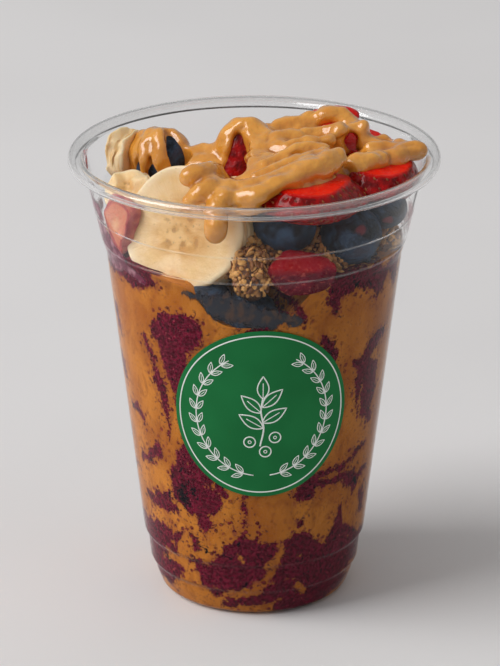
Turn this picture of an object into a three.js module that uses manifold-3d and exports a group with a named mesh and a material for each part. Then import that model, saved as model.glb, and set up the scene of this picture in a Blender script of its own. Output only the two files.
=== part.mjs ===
// Acai bowl to go: a clear thermoformed cup filled with acai smoothie marbled with peanut butter,
// a layer of granola, banana, blueberries and strawberry on top, and a thick peanut butter drizzle.
// Millimetres, +Z up. The origin is the centre of the cup's foot, and -Y is the front.
import * as THREE from "three";
import { mergeVertices } from "three/addons/utils/BufferGeometryUtils.js";
import Module from "manifold-3d";

const wasm = await Module();
wasm.setup();

// ---------------------------------------------------------------- driving dimensions

const CLEARANCE = 0.3; // between pieces that touch
const WALL = 0.7; // cup wall
const CUP_SIDES = 36;
const CUP_HEIGHT = 121;
const RIM_RADIUS = 47.5;
const BEAD_RADIUS = 1.6; // rolled rim
const HEADROOM = 20; // how far the inside of the cup is carried on above the rim
const JACKET_FOOT = 60; // toppings touch the wall only above this
const JACKET_THICKNESS = 12;
const SHOULDER = 94.5; // height where the straight wall ends

// Outside of the cup as [radius, height]: recessed base, standing ring, two stacking steps near the
// foot, the tall straight wall, the stacking shoulder below the rim and the flared top.
const CUP_OUTLINE = [
  [0, 1.5],
  [18, 1.5],
  [19.5, 0],
  [22.8, 0],
  [24.9, 1.4],
  [26.2, 5],
  [26.6, 7.4],
  [27.6, 8.2],
  [28.3, 15.4],
  [29.2, 16.2],
  [38.3, SHOULDER],
  [39.5, 98],
  [41.2, 105.5],
  [43.9, 117.6],
];

const STICKER_RADIUS = 23.75;
const STICKER_HEIGHT = 60.5; // height of its centre
const STICKER_AZIMUTH = THREE.MathUtils.degToRad(3.3);
const STICKER_THICKNESS = 0.3;
const STICKER_GAP = 0.35;

const FILL_SIDES = 30;
const FILL_LEVEL = 95; // under the toppings
const FILL_STRAIGHT = 80; // below this it fills the cup all round
const FILL_BANK = 2.5; // width of its level rim along the wall
const FILL_FLAT_RADIUS = 22;
const GRANOLA_FLOOR = 95.6;
const GRANOLA_TOP = 112;
const GRANOLA_EDGE = 100; // height of the mound where it meets the wall

const BANANA_RADIUS = 15.8;
const BERRY_SIDES = 12;
const ROUGH_BALL = 0.89; // least radius of a ball of 8 by 6 faces, as a share of its size
const ROUGH_SIDES = 12; // of the shapes that fruit is cut clear of
const COAT = 1.2; // peanut butter over a fruit
const COATED_AT = [-24.2, 11.5, 113.8]; // the berry under it
const COATED_RADIUS = 7.6;

// ---------------------------------------------------------------- materials

const finish = (color, roughness, extra = {}) =>
  new THREE.MeshStandardMaterial({ color, roughness, metalness: 0, ...extra });

const MATERIALS = {
  pet: finish(0xe6e9ea, 0.08, { transparent: true, opacity: 0.25 }),
  sticker: finish(0x12743c, 0.45),
  acai: finish(0x6f1a38, 0.5),
  granola: finish(0x9a6a3c, 0.85),
  banana: finish(0xf0dca6, 0.55),
  blueberry: finish(0x2b3648, 0.6),
  strawberry: finish(0xc41a1c, 0.3),
  peanut: finish(0xc08345, 0.25),
};

// ---------------------------------------------------------------- solids and meshes

// A closed surface of rings round an axis: at(angle, ring, side) gives each vertex.
function ringSurface(sides, rings, at) {
  const placeholder = Array.from({ length: rings }, (_, i) => new THREE.Vector2(1, i));
  const geometry = new THREE.LatheGeometry(placeholder, sides);
  const position = geometry.getAttribute("position");
  for (let side = 0; side <= sides; side++) {
    const turn = side % sides;
    for (let ring = 0; ring < rings; ring++) {
      const p = at((2 * Math.PI * turn) / sides, ring, turn);
      position.setXYZ(side * rings + ring, p.x, p.y, p.z);
    }
  }
  return geometry;
}

// The same, from a profile of [radius, height] that may change with the angle.
function turned(sides, profileAt) {
  const rings = profileAt(0).length;
  return ringSurface(sides, rings, (angle, ring) => {
    const [r, z] = profileAt(angle)[ring];
    return new THREE.Vector3(r * Math.cos(angle), r * Math.sin(angle), z);
  });
}

// A geometry as a manifold-3d solid: shared vertices merged, collapsed triangles at poles dropped.
function solidOf(geometry, matrix = new THREE.Matrix4()) {
  const bare = new THREE.BufferGeometry();
  bare.setAttribute("position", geometry.getAttribute("position").clone());
  if (geometry.index) bare.setIndex(geometry.index);
  bare.applyMatrix4(matrix);
  const merged = mergeVertices(bare, 1e-4);
  const index = merged.index.array;
  const kept = [];
  for (let i = 0; i < index.length; i += 3) {
    const [a, b, c] = [index[i], index[i + 1], index[i + 2]];
    if (a !== b && b !== c && c !== a) kept.push(a, b, c);
  }
  return new wasm.Manifold(
    new wasm.Mesh({
      numProp: 3,
      vertProperties: new Float32Array(merged.getAttribute("position").array),
      triVerts: new Uint32Array(kept),
    }),
  );
}

function geometryOf(solid, matrix = new THREE.Matrix4()) {
  const mesh = solid.getMesh();
  const geometry = new THREE.BufferGeometry();
  geometry.setAttribute("position", new THREE.BufferAttribute(mesh.vertProperties, 3));
  geometry.setIndex(new THREE.BufferAttribute(mesh.triVerts, 1));
  geometry.applyMatrix4(matrix);
  geometry.computeVertexNormals();
  return geometry;
}

const joined = (solids) => solids.reduce((sum, solid) => sum.add(solid));

// The biggest body of a solid, so that a cut leaves no loose scrap.
function largestBody(solid) {
  return solid.decompose().reduce((best, body) => (body.volume() > best.volume() ? body : best));
}

const bowl = new THREE.Group();

function addMesh(name, material, geometry) {
  const mesh = new THREE.Mesh(geometry, material);
  mesh.name = name;
  bowl.add(mesh);
  return mesh;
}

// A piece of fruit: shape(grow) gives its geometry about its own centre, with its face along +Z and
// its long side along +X; grown by the clearance it is what its neighbours are cut with.
function addPiece(name, material, shape, { at, face = [0, 0, 1], along = [1, 0, 0] }) {
  const mesh = addMesh(name, material, shape(0));
  const z = new THREE.Vector3(...face).normalize();
  const x = new THREE.Vector3(...along);
  x.addScaledVector(z, -x.dot(z)).normalize();
  const y = new THREE.Vector3().crossVectors(z, x);
  mesh.quaternion.setFromRotationMatrix(new THREE.Matrix4().makeBasis(x, y, z));
  mesh.position.set(...at);
  mesh.updateMatrixWorld();
  mesh.userData.clear = solidOf(shape(CLEARANCE), mesh.matrixWorld);
  return mesh;
}

const subtracted = (solid, cutters) => cutters.reduce((rest, cutter) => rest.subtract(cutter), solid);

// Cuts a mesh clear of the solids given, where it stands.
function cutMesh(mesh, cutters) {
  const rest = subtracted(solidOf(mesh.geometry, mesh.matrixWorld), cutters);
  mesh.geometry = geometryOf(largestBody(rest), mesh.matrixWorld.clone().invert());
}

// ---------------------------------------------------------------- the cup

// A profile moved sideways by a distance, towards the inside of the cup.
function inset(profile, distance) {
  const normal = ([r0, z0], [r1, z1]) => {
    const length = Math.hypot(r1 - r0, z1 - z0);
    return [-(z1 - z0) / length, (r1 - r0) / length];
  };
  return profile.map((point, i) => {
    const before = normal(profile[Math.max(i - 1, 0)], profile[Math.max(i, 1)]);
    const last = profile.length - 1;
    const after = normal(profile[Math.min(i, last - 1)], profile[Math.min(i + 1, last)]);
    const mitre = distance / (1 + before[0] * after[0] + before[1] * after[1]);
    return [point[0] + mitre * (before[0] + after[0]), point[1] + mitre * (before[1] + after[1])];
  });
}

function radiusAt(profile, z) {
  const i = profile.findIndex((point, n) => n > 3 && point[1] >= z);
  const [r0, z0] = profile[i - 1];
  const [r1, z1] = profile[i];
  return r0 + ((r1 - r0) * (z - z0)) / (z1 - z0);
}

function cupGeometry() {
  const centre = [RIM_RADIUS - BEAD_RADIUS, CUP_HEIGHT - BEAD_RADIUS];
  const bead = [215, 265, 315, 5, 55, 105, 150].map((degrees) => {
    const a = THREE.MathUtils.degToRad(degrees);
    return [centre[0] + BEAD_RADIUS * Math.cos(a), centre[1] + BEAD_RADIUS * Math.sin(a)];
  });
  const inside = inset(CUP_OUTLINE, WALL).reverse();
  const profile = [...CUP_OUTLINE, ...bead, ...inside];
  return turned(CUP_SIDES, () => profile);
}

addMesh("cup", MATERIALS.pet, cupGeometry());

const INSIDE = inset(CUP_OUTLINE, WALL + CLEARANCE);
const mouth = INSIDE[INSIDE.length - 1];
// The wall as a thick jacket: what must not be reached by anything inside.
const jacket = solidOf(
  turned(CUP_SIDES, () => [
    [radiusAt(INSIDE, JACKET_FOOT), JACKET_FOOT],
    ...INSIDE.filter(([, z]) => z > JACKET_FOOT),
    [mouth[0] + 0.2, CUP_HEIGHT + HEADROOM],
    [mouth[0] + JACKET_THICKNESS, CUP_HEIGHT + HEADROOM],
    [mouth[0] + JACKET_THICKNESS, JACKET_FOOT],
    [radiusAt(INSIDE, JACKET_FOOT), JACKET_FOOT],
  ].reverse()),
);

// Sticker: a round skin that follows the cup's wall.
function stickerGeometry() {
  const steps = [0, 0.25, 0.5, 0.75, 1];
  const rings = [...steps.map((f) => [f, 0]), ...steps.map((f) => [f, STICKER_THICKNESS]).reverse()];
  const at = (angle, ring) => {
    const [fraction, lift] = rings[ring];
    const across = fraction * STICKER_RADIUS * Math.cos(angle);
    const z = STICKER_HEIGHT + fraction * STICKER_RADIUS * Math.sin(angle);
    const wall = radiusAt(CUP_OUTLINE, z);
    const azimuth = STICKER_AZIMUTH + across / wall;
    const r = wall + STICKER_GAP + lift;
    return new THREE.Vector3(r * Math.sin(azimuth), -r * Math.cos(azimuth), z);
  };
  return ringSurface(24, rings.length, at);
}

addMesh("sticker", MATERIALS.sticker, stickerGeometry());

// ---------------------------------------------------------------- fruit shapes

// How much a shape with few sides grows to hold the finer one.
const roughness = (sides) => (sides === ROUGH_SIDES ? 1 / Math.cos(Math.PI / ROUGH_SIDES) : 1);

// Blueberry: a slightly flat ball with a five-pointed crown round a dent on top. Its neighbours are
// cut by a plain ball, except where a thin coat has to follow the berry closely.
const blueberry = (radius, coated = false) => (grow) => {
  const R = radius + grow;
  if (grow && !coated) return new THREE.SphereGeometry(R / ROUGH_BALL, 8, 6);
  return turned(BERRY_SIDES, (angle) => {
    const crown = 0.05 * Math.cos(5 * angle);
    const profile = [0, 30, 60, 88, 114, 137].map((degrees) => {
      const a = THREE.MathUtils.degToRad(degrees);
      return [R * Math.sin(a), -0.92 * R * Math.cos(a)];
    });
    const top = grow ? 0.9 : 0.76;
    return [...profile, [(0.36 + crown) * R, 0.89 * R], [0.24 * R, top * R], [0, top * R]];
  });
};

// Banana slice: a thick disc, faintly three-lobed, with soft edges; slant shifts its far face.
const bananaSlice = (radius, thickness, slant = [0, 0]) => (grow) => {
  const h = thickness / 2 + grow;
  const edge = 0.7;
  const rim = 1 - edge / radius;
  const rings = grow
    ? [[0, -h], [1, -h], [1, h], [0, h + 0.1]]
    : [[0, -h], [rim, -h], [1, -h + edge], [1, h - edge], [rim, h], [0, h + 0.1]];
  const sides = grow ? ROUGH_SIDES : 18;
  return ringSurface(sides, rings.length, (angle, ring) => {
    const [fraction, z] = rings[ring];
    const lobes = 1 + 0.022 * Math.cos(3 * angle + 0.6) + 0.012 * Math.sin(2 * angle);
    const r = (radius * roughness(sides) + grow) * lobes * fraction;
    const lean = (h - z) / (2 * h);
    return new THREE.Vector3(
      r * Math.cos(angle) + slant[0] * lean,
      r * Math.sin(angle) + slant[1] * lean,
      z,
    );
  });
};

// Strawberry slice: a drop-shaped slab, pointed along +X, its skin rounded between two cut faces.
const strawberrySlice = (length, width, thickness) => (grow) => {
  const h = thickness / 2 + grow;
  const rings = [
    [0, -1],
    [0.82, -0.96],
    [1, -0.3],
    [0.98, 0.5],
    [0.86, 0.97],
    [0, 1],
  ];
  const sides = grow ? ROUGH_SIDES : 15;
  return ringSurface(sides, rings.length, (angle, ring) => {
    const [fraction, rise] = rings[ring];
    const x = ((length / 2) * roughness(sides) + grow) * fraction * Math.cos(angle);
    const taper = 1 - 0.34 * fraction * Math.cos(angle);
    const y = ((width / 2) * roughness(sides) + grow) * fraction * Math.sin(angle) * taper;
    return new THREE.Vector3(x, y, rise * h);
  });
};

// Strawberry wedge: the sector of a whole fruit, pointed along +X, that opens by an angle about +Z.
const strawberryWedge = (length, width, opening) => (grow) => {
  const [sides, steps] = grow ? [ROUGH_SIDES, 6] : [16, 8];
  const spare = Math.pow(roughness(sides), 2);
  const whole = ringSurface(sides, steps + 1, (angle, ring) => {
    const a = (Math.PI * ring) / steps;
    const r = ((width / 2) * spare + grow) * Math.sin(a) * (1 + 0.3 * Math.cos(a));
    const x = -((length / 2) * spare + grow) * Math.cos(a);
    return new THREE.Vector3(x, r * Math.cos(angle), r * Math.sin(angle));
  });
  const big = length + width;
  const cuts = [1, -1].map((side) => {
    const beyond = new THREE.BoxGeometry(2 * big, 2 * big, big).translate(0, 0, big / 2 + grow);
    return solidOf(beyond, new THREE.Matrix4().makeRotationX(-side * (Math.PI + opening) / 2));
  });
  return geometryOf(solidOf(whole).subtract(cuts[0]).subtract(cuts[1]));
};

// ---------------------------------------------------------------- fruit in the cup

const { blueberry: BLUE, banana: PALE, strawberry: RED } = MATERIALS;

const berries = [
  ["blueberry_coated", COATED_RADIUS, COATED_AT, [-0.5, -0.3, 0.8]],
  ["blueberry_right", 8, [24.2, -21, 104.6], [0.4, -0.7, -0.3]],
  ["blueberry_centre", 8.1, [7.6, -25, 109.2], [-0.4, 0.2, -0.9]],
  ["blueberry_far_right", 6, [32.6, -13.6, 109.6], [0.2, 0.5, 0.8]],
  ["blueberry_tucked", 6.2, [27, -3.4, 99.8], [0.3, 0.3, -0.9]],
  ["blueberry_low_left", 6.8, [-11.2, -26, 88.6], [-0.6, 0.5, -0.6]],
  ["blueberry_low_middle", 6.2, [-1, -28.6, 87], [0.1, 0.6, -0.8]],
  ["blueberry_back_left", 7.4, [-15.5, 27.8, 99.5], [-0.3, 0.2, 0.9]],
  ["blueberry_back_right", 7.8, [14, 27.6, 103.2], [0.3, 0.6, 0.7]],
].map(([name, radius, at, face]) =>
  addPiece(name, BLUE, blueberry(radius, name === "blueberry_coated"), { at, face }),
);

const strawberries = [
  addPiece("strawberry_chunk", RED, strawberryWedge(20, 13.5, 1.9), {
    at: [11.9, -36.2, 99.4],
    face: [-0.25, 0.95, -0.15],
    along: [1, 0.28, -0.2],
  }),
  addPiece("strawberry_front", RED, strawberrySlice(30, 22, 6.8), {
    at: [15.6, -25.6, 117],
    face: [0.1, -0.22, 0.97],
    along: [0.86, 0.5, 0.1],
  }),
  addPiece("strawberry_right", RED, strawberrySlice(27, 20, 7), {
    at: [32.4, -5, 115.8],
    face: [0.2, -0.16, 0.96],
    along: [0.62, 0.78, 0.02],
  }),
  addPiece("strawberry_edge", RED, strawberrySlice(24, 20, 6.6), {
    at: [28.6, 12.4, 114],
    face: [0.12, -0.24, 0.95],
    along: [-0.6, 0.8, 0],
  }),
  addPiece("strawberry_tip", RED, strawberrySlice(25, 15, 6.4), {
    at: [15.8, 12, 119.4],
    face: [-0.42, -0.4, 0.8],
    along: [0.8, 0.1, 0.55],
  }),
  addPiece("strawberry_upright", RED, strawberryWedge(24, 12.6, 2.4), {
    at: [-3.6, 6.6, 113.6],
    face: [0.02, -1, 0.1],
    along: [0.03, 0.1, 1],
  }),
  addPiece("strawberry_back", RED, strawberrySlice(24, 17, 6), {
    at: [-1.4, 22.6, 107.4],
    face: [0.05, 0.45, 0.9],
    along: [1, -0.2, 0],
  }),
  addPiece("strawberry_left", RED, strawberrySlice(14, 11, 4.2), {
    at: [-33.6, -19.6, 107],
    face: [-0.86, -0.48, 0.14],
    along: [0.1, 0.2, 1],
  }),
];

const bananas = [
  addPiece("banana_front", PALE, bananaSlice(BANANA_RADIUS, 6.4, [0.9, -0.9]), {
    at: [-16.8, -23, 107],
    face: [-0.37, -0.88, 0.25],
    along: [0.9, -0.44, 0],
  }),
  addPiece("banana_left", PALE, bananaSlice(6, 5.2, [1, 0.6]), {
    at: [-30.6, -12.6, 113],
    face: [-0.34, -0.42, 0.84],
    along: [1, 0.2, 0],
  }),
  addPiece("banana_back", PALE, bananaSlice(7.4, 5, [-0.6, 0.8]), {
    at: [-32.4, 14, 113.6],
    face: [0.82, -0.56, 0.1],
    along: [0.5, 0.8, 0],
  }),
  addPiece("banana_middle", PALE, bananaSlice(12, 5), {
    at: [-15, -3.4, 108.4],
    face: [-0.24, -0.1, 0.96],
    along: [1, 0.2, 0],
  }),
];

// Each piece gives way to the wall and to the pieces before it, which keep their full shape.
const fruit = [];
for (const piece of [...berries, ...strawberries, ...bananas]) {
  cutMesh(piece, [jacket, ...fruit]);
  fruit.push(piece.userData.clear);
}

// ---------------------------------------------------------------- acai fill

// How high the smoothie stands against the wall: lowest in the middle of the front, where berries
// press on the glass, and highest on the left.
function fillLevel(azimuth) {
  const front = Math.exp(-Math.pow((azimuth + 0.02) / 0.36, 4));
  const left = Math.exp(-Math.pow((azimuth + 1.15) / 0.5, 2));
  return 95.4 - 10.6 * front + 5 * left + 0.8 * Math.sin(3 * azimuth + 1);
}

const fillShape = (grow) => {
  const wall = INSIDE.filter(([, z]) => z < FILL_STRAIGHT);
  return turned(FILL_SIDES, (angle) => {
    const azimuth = Math.atan2(Math.cos(angle), -Math.sin(angle)); // 0 at the front
    const level = fillLevel(azimuth);
    const heights = [FILL_STRAIGHT, Math.min(level - 0.5, SHOULDER), level];
    const side = heights.map((z) => [radiusAt(INSIDE, z), z + grow]);
    const top = [
      [side[2][0] - FILL_BANK, level - 0.2 + grow],
      [FILL_FLAT_RADIUS, FILL_LEVEL + grow],
      [0, FILL_LEVEL + grow],
    ];
    return [...wall, ...side, ...top];
  });
};

const acai = addMesh("acai", MATERIALS.acai, fillShape(0));
acai.userData.clear = solidOf(fillShape(CLEARANCE));
cutMesh(acai, fruit);

// ---------------------------------------------------------------- granola

// A repeatable random number from 0 to 1.
function randomFrom(seed) {
  let state = seed;
  return () => {
    state = (state * 16807) % 2147483647;
    return state / 2147483647;
  };
}

// Height of the granola layer: a mound, a little uneven, that falls to the wall.
function granolaHeight(r, angle) {
  const fall = (GRANOLA_TOP - GRANOLA_EDGE) * Math.pow(r / 38, 1.6);
  const uneven = 0.8 * Math.sin(3 * angle + r / 4) + 0.6 * Math.cos(5 * angle - r / 6);
  return GRANOLA_TOP - fall + uneven * (r / 38);
}

const granolaCore = (grow) =>
  turned(18, (angle) => {
    const azimuth = Math.atan2(Math.cos(angle), -Math.sin(angle));
    const behindBanana = 6 * Math.exp(-Math.pow((azimuth + 0.62) / 0.4, 2));
    const edge = 34.4 + 0.6 * Math.sin(4 * angle) - behindBanana + grow;
    const side = [
      [0, GRANOLA_FLOOR - grow],
      [28 + grow, GRANOLA_FLOOR - grow],
      [edge, GRANOLA_FLOOR + 3 - grow],
    ];
    const top = [1, 0.7, 0.35, 0].map((fraction) => {
      const r = fraction * edge;
      return [r, granolaHeight(r, angle) + grow];
    });
    return [...side, ...top];
  });

// Oat flakes and crumbs that stand proud of the layer, in the gaps between the fruit.
const FLAKE_PATCHES = [
  { azimuth: [-7, 3], radius: [35, 37.2], height: [92, 104], count: 8 }, // front gap
  { azimuth: [48, 74], radius: [34, 37], height: [98, 104], count: 5 }, // right of the berries
  { azimuth: [-100, -72], radius: [34, 38], height: [103, 107], count: 3 }, // left wall
  { azimuth: [130, 235], radius: [20, 37], height: null, count: 7 }, // back
];

function flakes(grow) {
  const random = randomFrom(11);
  const between = ([low, high]) => low + (high - low) * random();
  const made = [];
  for (const patch of FLAKE_PATCHES) {
    for (let i = 0; i < patch.count; i++) {
      const azimuth = THREE.MathUtils.degToRad(between(patch.azimuth));
      const r = between(patch.radius);
      const z = patch.height ? between(patch.height) : granolaHeight(r, azimuth - Math.PI / 2) + 0.4;
      const flake = new THREE.SphereGeometry(1, 5, 3);
      flake.scale(2.6 + random() + grow, 2.1 + random() + grow, 1.2 + grow);
      const turn = new THREE.Euler(2 * random() - 1, 2 * random() - 1, 6.28 * random());
      const matrix = new THREE.Matrix4().makeRotationFromEuler(turn);
      matrix.setPosition(r * Math.sin(azimuth), -r * Math.cos(azimuth), z);
      made.push(solidOf(flake, matrix));
    }
  }
  return made;
}

// The clusters that show in the gap at the front and at the right.
const granolaCluster = ([x, y, z], [a, b, c]) => (grow) =>
  solidOf(new THREE.SphereGeometry(1, 8, 6).scale(a + grow, b + grow, c + grow).translate(x, y, z));

const frontCluster = granolaCluster([-0.6, -33.6, 98.4], [4.6, 4, 7]);
const rightCluster = granolaCluster([33, -10, 99.6], [4, 6, 4.6]);

const granolaShape = (grow) =>
  joined([solidOf(granolaCore(grow)), frontCluster(grow), rightCluster(grow), ...flakes(grow)]);
const bed = largestBody(subtracted(granolaShape(0), [jacket, ...fruit, acai.userData.clear]));
addMesh("granola", MATERIALS.granola, geometryOf(bed));

// ---------------------------------------------------------------- peanut butter

// A rope of peanut butter through the given [x, y, z, radius] points, with round ends. Its rings keep
// one direction level, square to the way the rope runs as a whole.
function rope(points, sides = 6) {
  const curve = new THREE.CatmullRomCurve3(points.map(([x, y, z]) => new THREE.Vector3(x, y, z)));
  const spans = points.length - 1;
  const cap = (0.8 * points[spans][3]) / curve.getLength(); // share of the length in a round end
  const middle = Array.from({ length: points.length }, (_, i) => [cap + ((1 - 2 * cap) * i) / spans, 1]);
  const stations = [[0, 0], [0.25 * cap, 0.7], ...middle, [1 - 0.25 * cap, 0.7], [1, 0]];
  const run = curve.getPoint(1).sub(curve.getPoint(0));
  const level = new THREE.Vector3(-run.y, run.x, 0).normalize();
  const at = (angle, ring) => {
    const [along, share] = stations[ring];
    const i = Math.min(Math.floor(along * spans), spans - 1);
    const radius = share * THREE.MathUtils.lerp(points[i][3], points[i + 1][3], along * spans - i);
    const tangent = curve.getTangentAt(along);
    const side = level.clone().addScaledVector(tangent, -tangent.dot(level)).normalize();
    const rise = new THREE.Vector3().crossVectors(tangent, side);
    return curve
      .getPointAt(along)
      .addScaledVector(side, radius * Math.cos(angle))
      .addScaledVector(rise, radius * Math.sin(angle));
  };
  return solidOf(ringSurface(sides, stations.length, at));
}

// A flattened lump.
function lump([x, y, z], [a, b, c], lean = 0, sides = 8) {
  const ball = new THREE.SphereGeometry(1, sides, Math.ceil(0.6 * sides));
  ball.rotateX(Math.PI / 2);
  ball.scale(a, b, c);
  const matrix = new THREE.Matrix4().makeRotationZ(lean);
  matrix.setPosition(x, y, z);
  return solidOf(ball, matrix);
}

// The coat on the back left berry: a shell with a slit that shows the skin, and two legs.
function coatedBerry() {
  const [x, y, z] = COATED_AT;
  const near = (dx, dy, dz, r) => [x + dx, y + dy, z + dz, r];
  const outer = COATED_RADIUS + COAT;
  const shell = lump([x, y, z + 0.3], [outer, outer, outer - 0.4], 0, 12);
  const under = lump([x, y + 1, z - 9], [14, 14, 7.5]);
  const slit = rope([near(3, -3.4, 8.4, 1.8), near(4.6, -6.2, 5, 2.8), near(5.6, -7.4, 0.4, 2.8)]);
  const legs = [
    rope([near(-7, -4, 2, 1.8), near(-7.2, -4.6, -2, 1.6), near(-6, -6, -5, 1.4)]),
    rope([near(-2.5, -7.5, 1, 2), near(-2.8, -8.6, -4, 1.9), near(-4, -10, -7, 1.6)]),
  ];
  return joined([shell.subtract(under).subtract(slit), ...legs]);
}

// The coat round the upright strawberry: a hood that leaves a tall slit at the front.
function hood() {
  const shell = lump([-3.4, 6.4, 116.6], [6.8, 7.4, 10.4], 0, 12);
  const slit = lump([-4, -1.6, 116.6], [3.3, 8, 11.2]);
  return shell.subtract(slit);
}

const DRIZZLE = [
  // tongue over the banana, with a drip behind the rim
  [[-4, -17, 114.6, 2.8], [-8.6, -20.4, 120, 2.8], [-13, -26.4, 120, 2.8], [-16.4, -30, 117, 2.1]],
  [[-1.6, -17, 113, 3.2], [-5.6, -25, 117.4, 3.4], [-8.8, -33, 116, 3.2], [-9.3, -36.6, 111.6, 3],
    [-9.3, -36, 109, 3]],
  // front band: ridges that rise to the right over the front strawberry
  [[-3.5, -31, 117, 3], [2, -31.6, 119.4, 3], [9, -29, 121.8, 3.2], [16, -25, 123.2, 3.2],
    [20.5, -19.5, 123.6, 2.6]],
  [[-2.6, -24, 116.6, 3.4], [5, -22, 121.4, 3.2], [12.6, -19, 123.6, 3.4], [19.4, -15, 124.4, 3]],
  [[3, -12, 117.6, 3.2], [5.6, -14, 120.6, 3.2], [10, -12, 123.4, 3.2], [16.4, -10, 124, 3.1],
    [20.6, -8, 123.8, 2.6]],
  // upper band along the back, ending in a knob
  [[0, -2, 120.6, 3.2], [6, -2, 122.8, 3], [11, 0, 124, 3], [17, 2, 124.6, 3],
    [22.6, 1.4, 123.6, 2.6]],
  [[1, 5, 121.6, 3.2], [8, 6, 124.4, 3], [14, 8, 125.6, 3], [19.8, 10, 126, 3], [24.6, 8, 125, 2.8],
    [26.4, 5.6, 123, 2.4]],
  // right lobes, ending in a blob at the rim
  [[20, 2, 122, 3], [26.2, 4.6, 120, 2.8], [31, 3.4, 119.8, 2.7], [37.6, 0.4, 120, 2.8],
    [43.4, -2.6, 121, 3]],
  [[22, -15, 121.4, 2.6], [25.2, -13.4, 120.2, 2.5], [29.4, -9.6, 120.4, 2.6], [34.4, -5.4, 121.2, 2.5],
    [39.2, -2.4, 121.4, 2.4]],
  // low rope between the two hoods
  [[-20, 10, 119, 2.2], [-15.6, 9, 117, 2.6], [-11, 8.4, 117, 2.6], [-5, 8, 119, 2.6]],
];

// The sheet under the ropes that joins them.
const POOLS = [
  lump([8, -25.6, 119.6], [11, 5.5, 2.8], 0.45),
  lump([9, -12, 117.6], [15, 15, 4.6], 0.3),
  lump([12, 4, 119.4], [14, 8, 4.4], 0.2),
  lump([30, -3, 118.4], [11, 6.4, 3.6], 0.7),
  lump([-5, -17, 114.6], [8, 9, 4]),
  lump([-12, 4.6, 114.6], [9, 5.6, 3.4]),
];

const sauce = joined([coatedBerry(), hood(), ...DRIZZLE.map((points) => rope(points)), ...POOLS]);
const window = lump([22.6, -4.4, 123], [2, 2, 6]);
const poured = largestBody(subtracted(sauce, [window, jacket, ...fruit, granolaShape(CLEARANCE)]));
addMesh("peanut_butter", MATERIALS.peanut, geometryOf(poured));

export default bowl;
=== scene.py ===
import math

import bpy
import numpy as np
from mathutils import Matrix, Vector


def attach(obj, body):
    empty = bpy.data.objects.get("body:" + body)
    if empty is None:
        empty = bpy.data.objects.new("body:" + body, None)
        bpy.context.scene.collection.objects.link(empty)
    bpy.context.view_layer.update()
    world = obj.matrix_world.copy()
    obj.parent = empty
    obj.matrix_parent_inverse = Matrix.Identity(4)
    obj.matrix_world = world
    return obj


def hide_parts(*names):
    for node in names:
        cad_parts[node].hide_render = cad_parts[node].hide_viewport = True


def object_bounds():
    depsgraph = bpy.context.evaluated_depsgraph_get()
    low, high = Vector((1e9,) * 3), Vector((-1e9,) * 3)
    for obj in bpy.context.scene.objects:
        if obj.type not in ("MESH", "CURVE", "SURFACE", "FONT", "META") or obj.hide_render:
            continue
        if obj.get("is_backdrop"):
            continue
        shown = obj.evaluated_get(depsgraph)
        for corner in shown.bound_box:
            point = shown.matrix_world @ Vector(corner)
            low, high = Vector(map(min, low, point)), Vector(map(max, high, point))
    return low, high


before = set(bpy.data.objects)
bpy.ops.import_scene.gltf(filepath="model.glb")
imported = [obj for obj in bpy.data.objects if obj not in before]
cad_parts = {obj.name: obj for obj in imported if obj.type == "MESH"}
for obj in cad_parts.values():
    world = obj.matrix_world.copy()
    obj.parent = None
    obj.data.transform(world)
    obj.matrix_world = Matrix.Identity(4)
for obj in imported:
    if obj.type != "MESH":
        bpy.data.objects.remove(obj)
CAD_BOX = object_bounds()

MM = 0.001
TURN = 2 * math.pi

# ---------------------------------------------------------------- sizes shared with the solids

CUP_OUTLINE = [
    (0, 1.5), (18, 1.5), (19.5, 0), (22.8, 0), (24.9, 1.4), (26.2, 5), (26.6, 7.4), (27.6, 8.2),
    (28.3, 15.4), (29.2, 16.2), (38.3, 94.5), (39.5, 98), (41.05, 104.9), (41.3, 105.6),
    (43.9, 117.6),
]
WALL = 0.5
RIM_CURL = [
    (43.65, 117.6), (44.1, 118.8), (44.9, 119.7), (46.1, 120.15), (47.15, 119.75), (47.6, 118.7),
    (47.25, 117.6), (46.3, 117.25), (45.5, 117.6),
]
RIM_FROM = 43.95  # the rim's own finish starts at this radius
MOULD_RINGS = [(97.6, 98.4), (104.95, 105.65)]  # heights between which the wall has a sharp bend
STICKER_RADIUS = 23.75
STICKER_SQUEEZE = 0.975  # the label was pulled a little narrower as it was wrapped on
STICKER_HEIGHT = 61
STICKER_AZIMUTH = math.radians(3.3)
STRAIGHT_FILL = 80  # the smoothie fills the cup all round below this
FOOD_PRESS = 0.15  # how far food reaches into the wall, so that no air shows between them


# ---------------------------------------------------------------- mesh helpers

def round_angles(count):
    return TURN * np.arange(count) / count


def ring_points(r, angle, z):
    """Rings of points from their radius, angle and height."""
    return np.stack([r * np.cos(angle), r * np.sin(angle), z], -1)


def grid_faces(rows, sides):
    """Quads between closed rings of the same number of points."""
    row, side = np.meshgrid(np.arange(rows - 1), np.arange(sides), indexing="ij")
    beside = (side + 1) % sides
    quads = np.stack(
        [row * sides + side, row * sides + beside, (row + 1) * sides + beside, (row + 1) * sides + side],
        axis=-1,
    )
    return quads.reshape(-1, 4).tolist()


def linked(name, data):
    """A new object in the scene."""
    obj = bpy.data.objects.new(name, data)
    bpy.context.scene.collection.objects.link(obj)
    return obj


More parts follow.
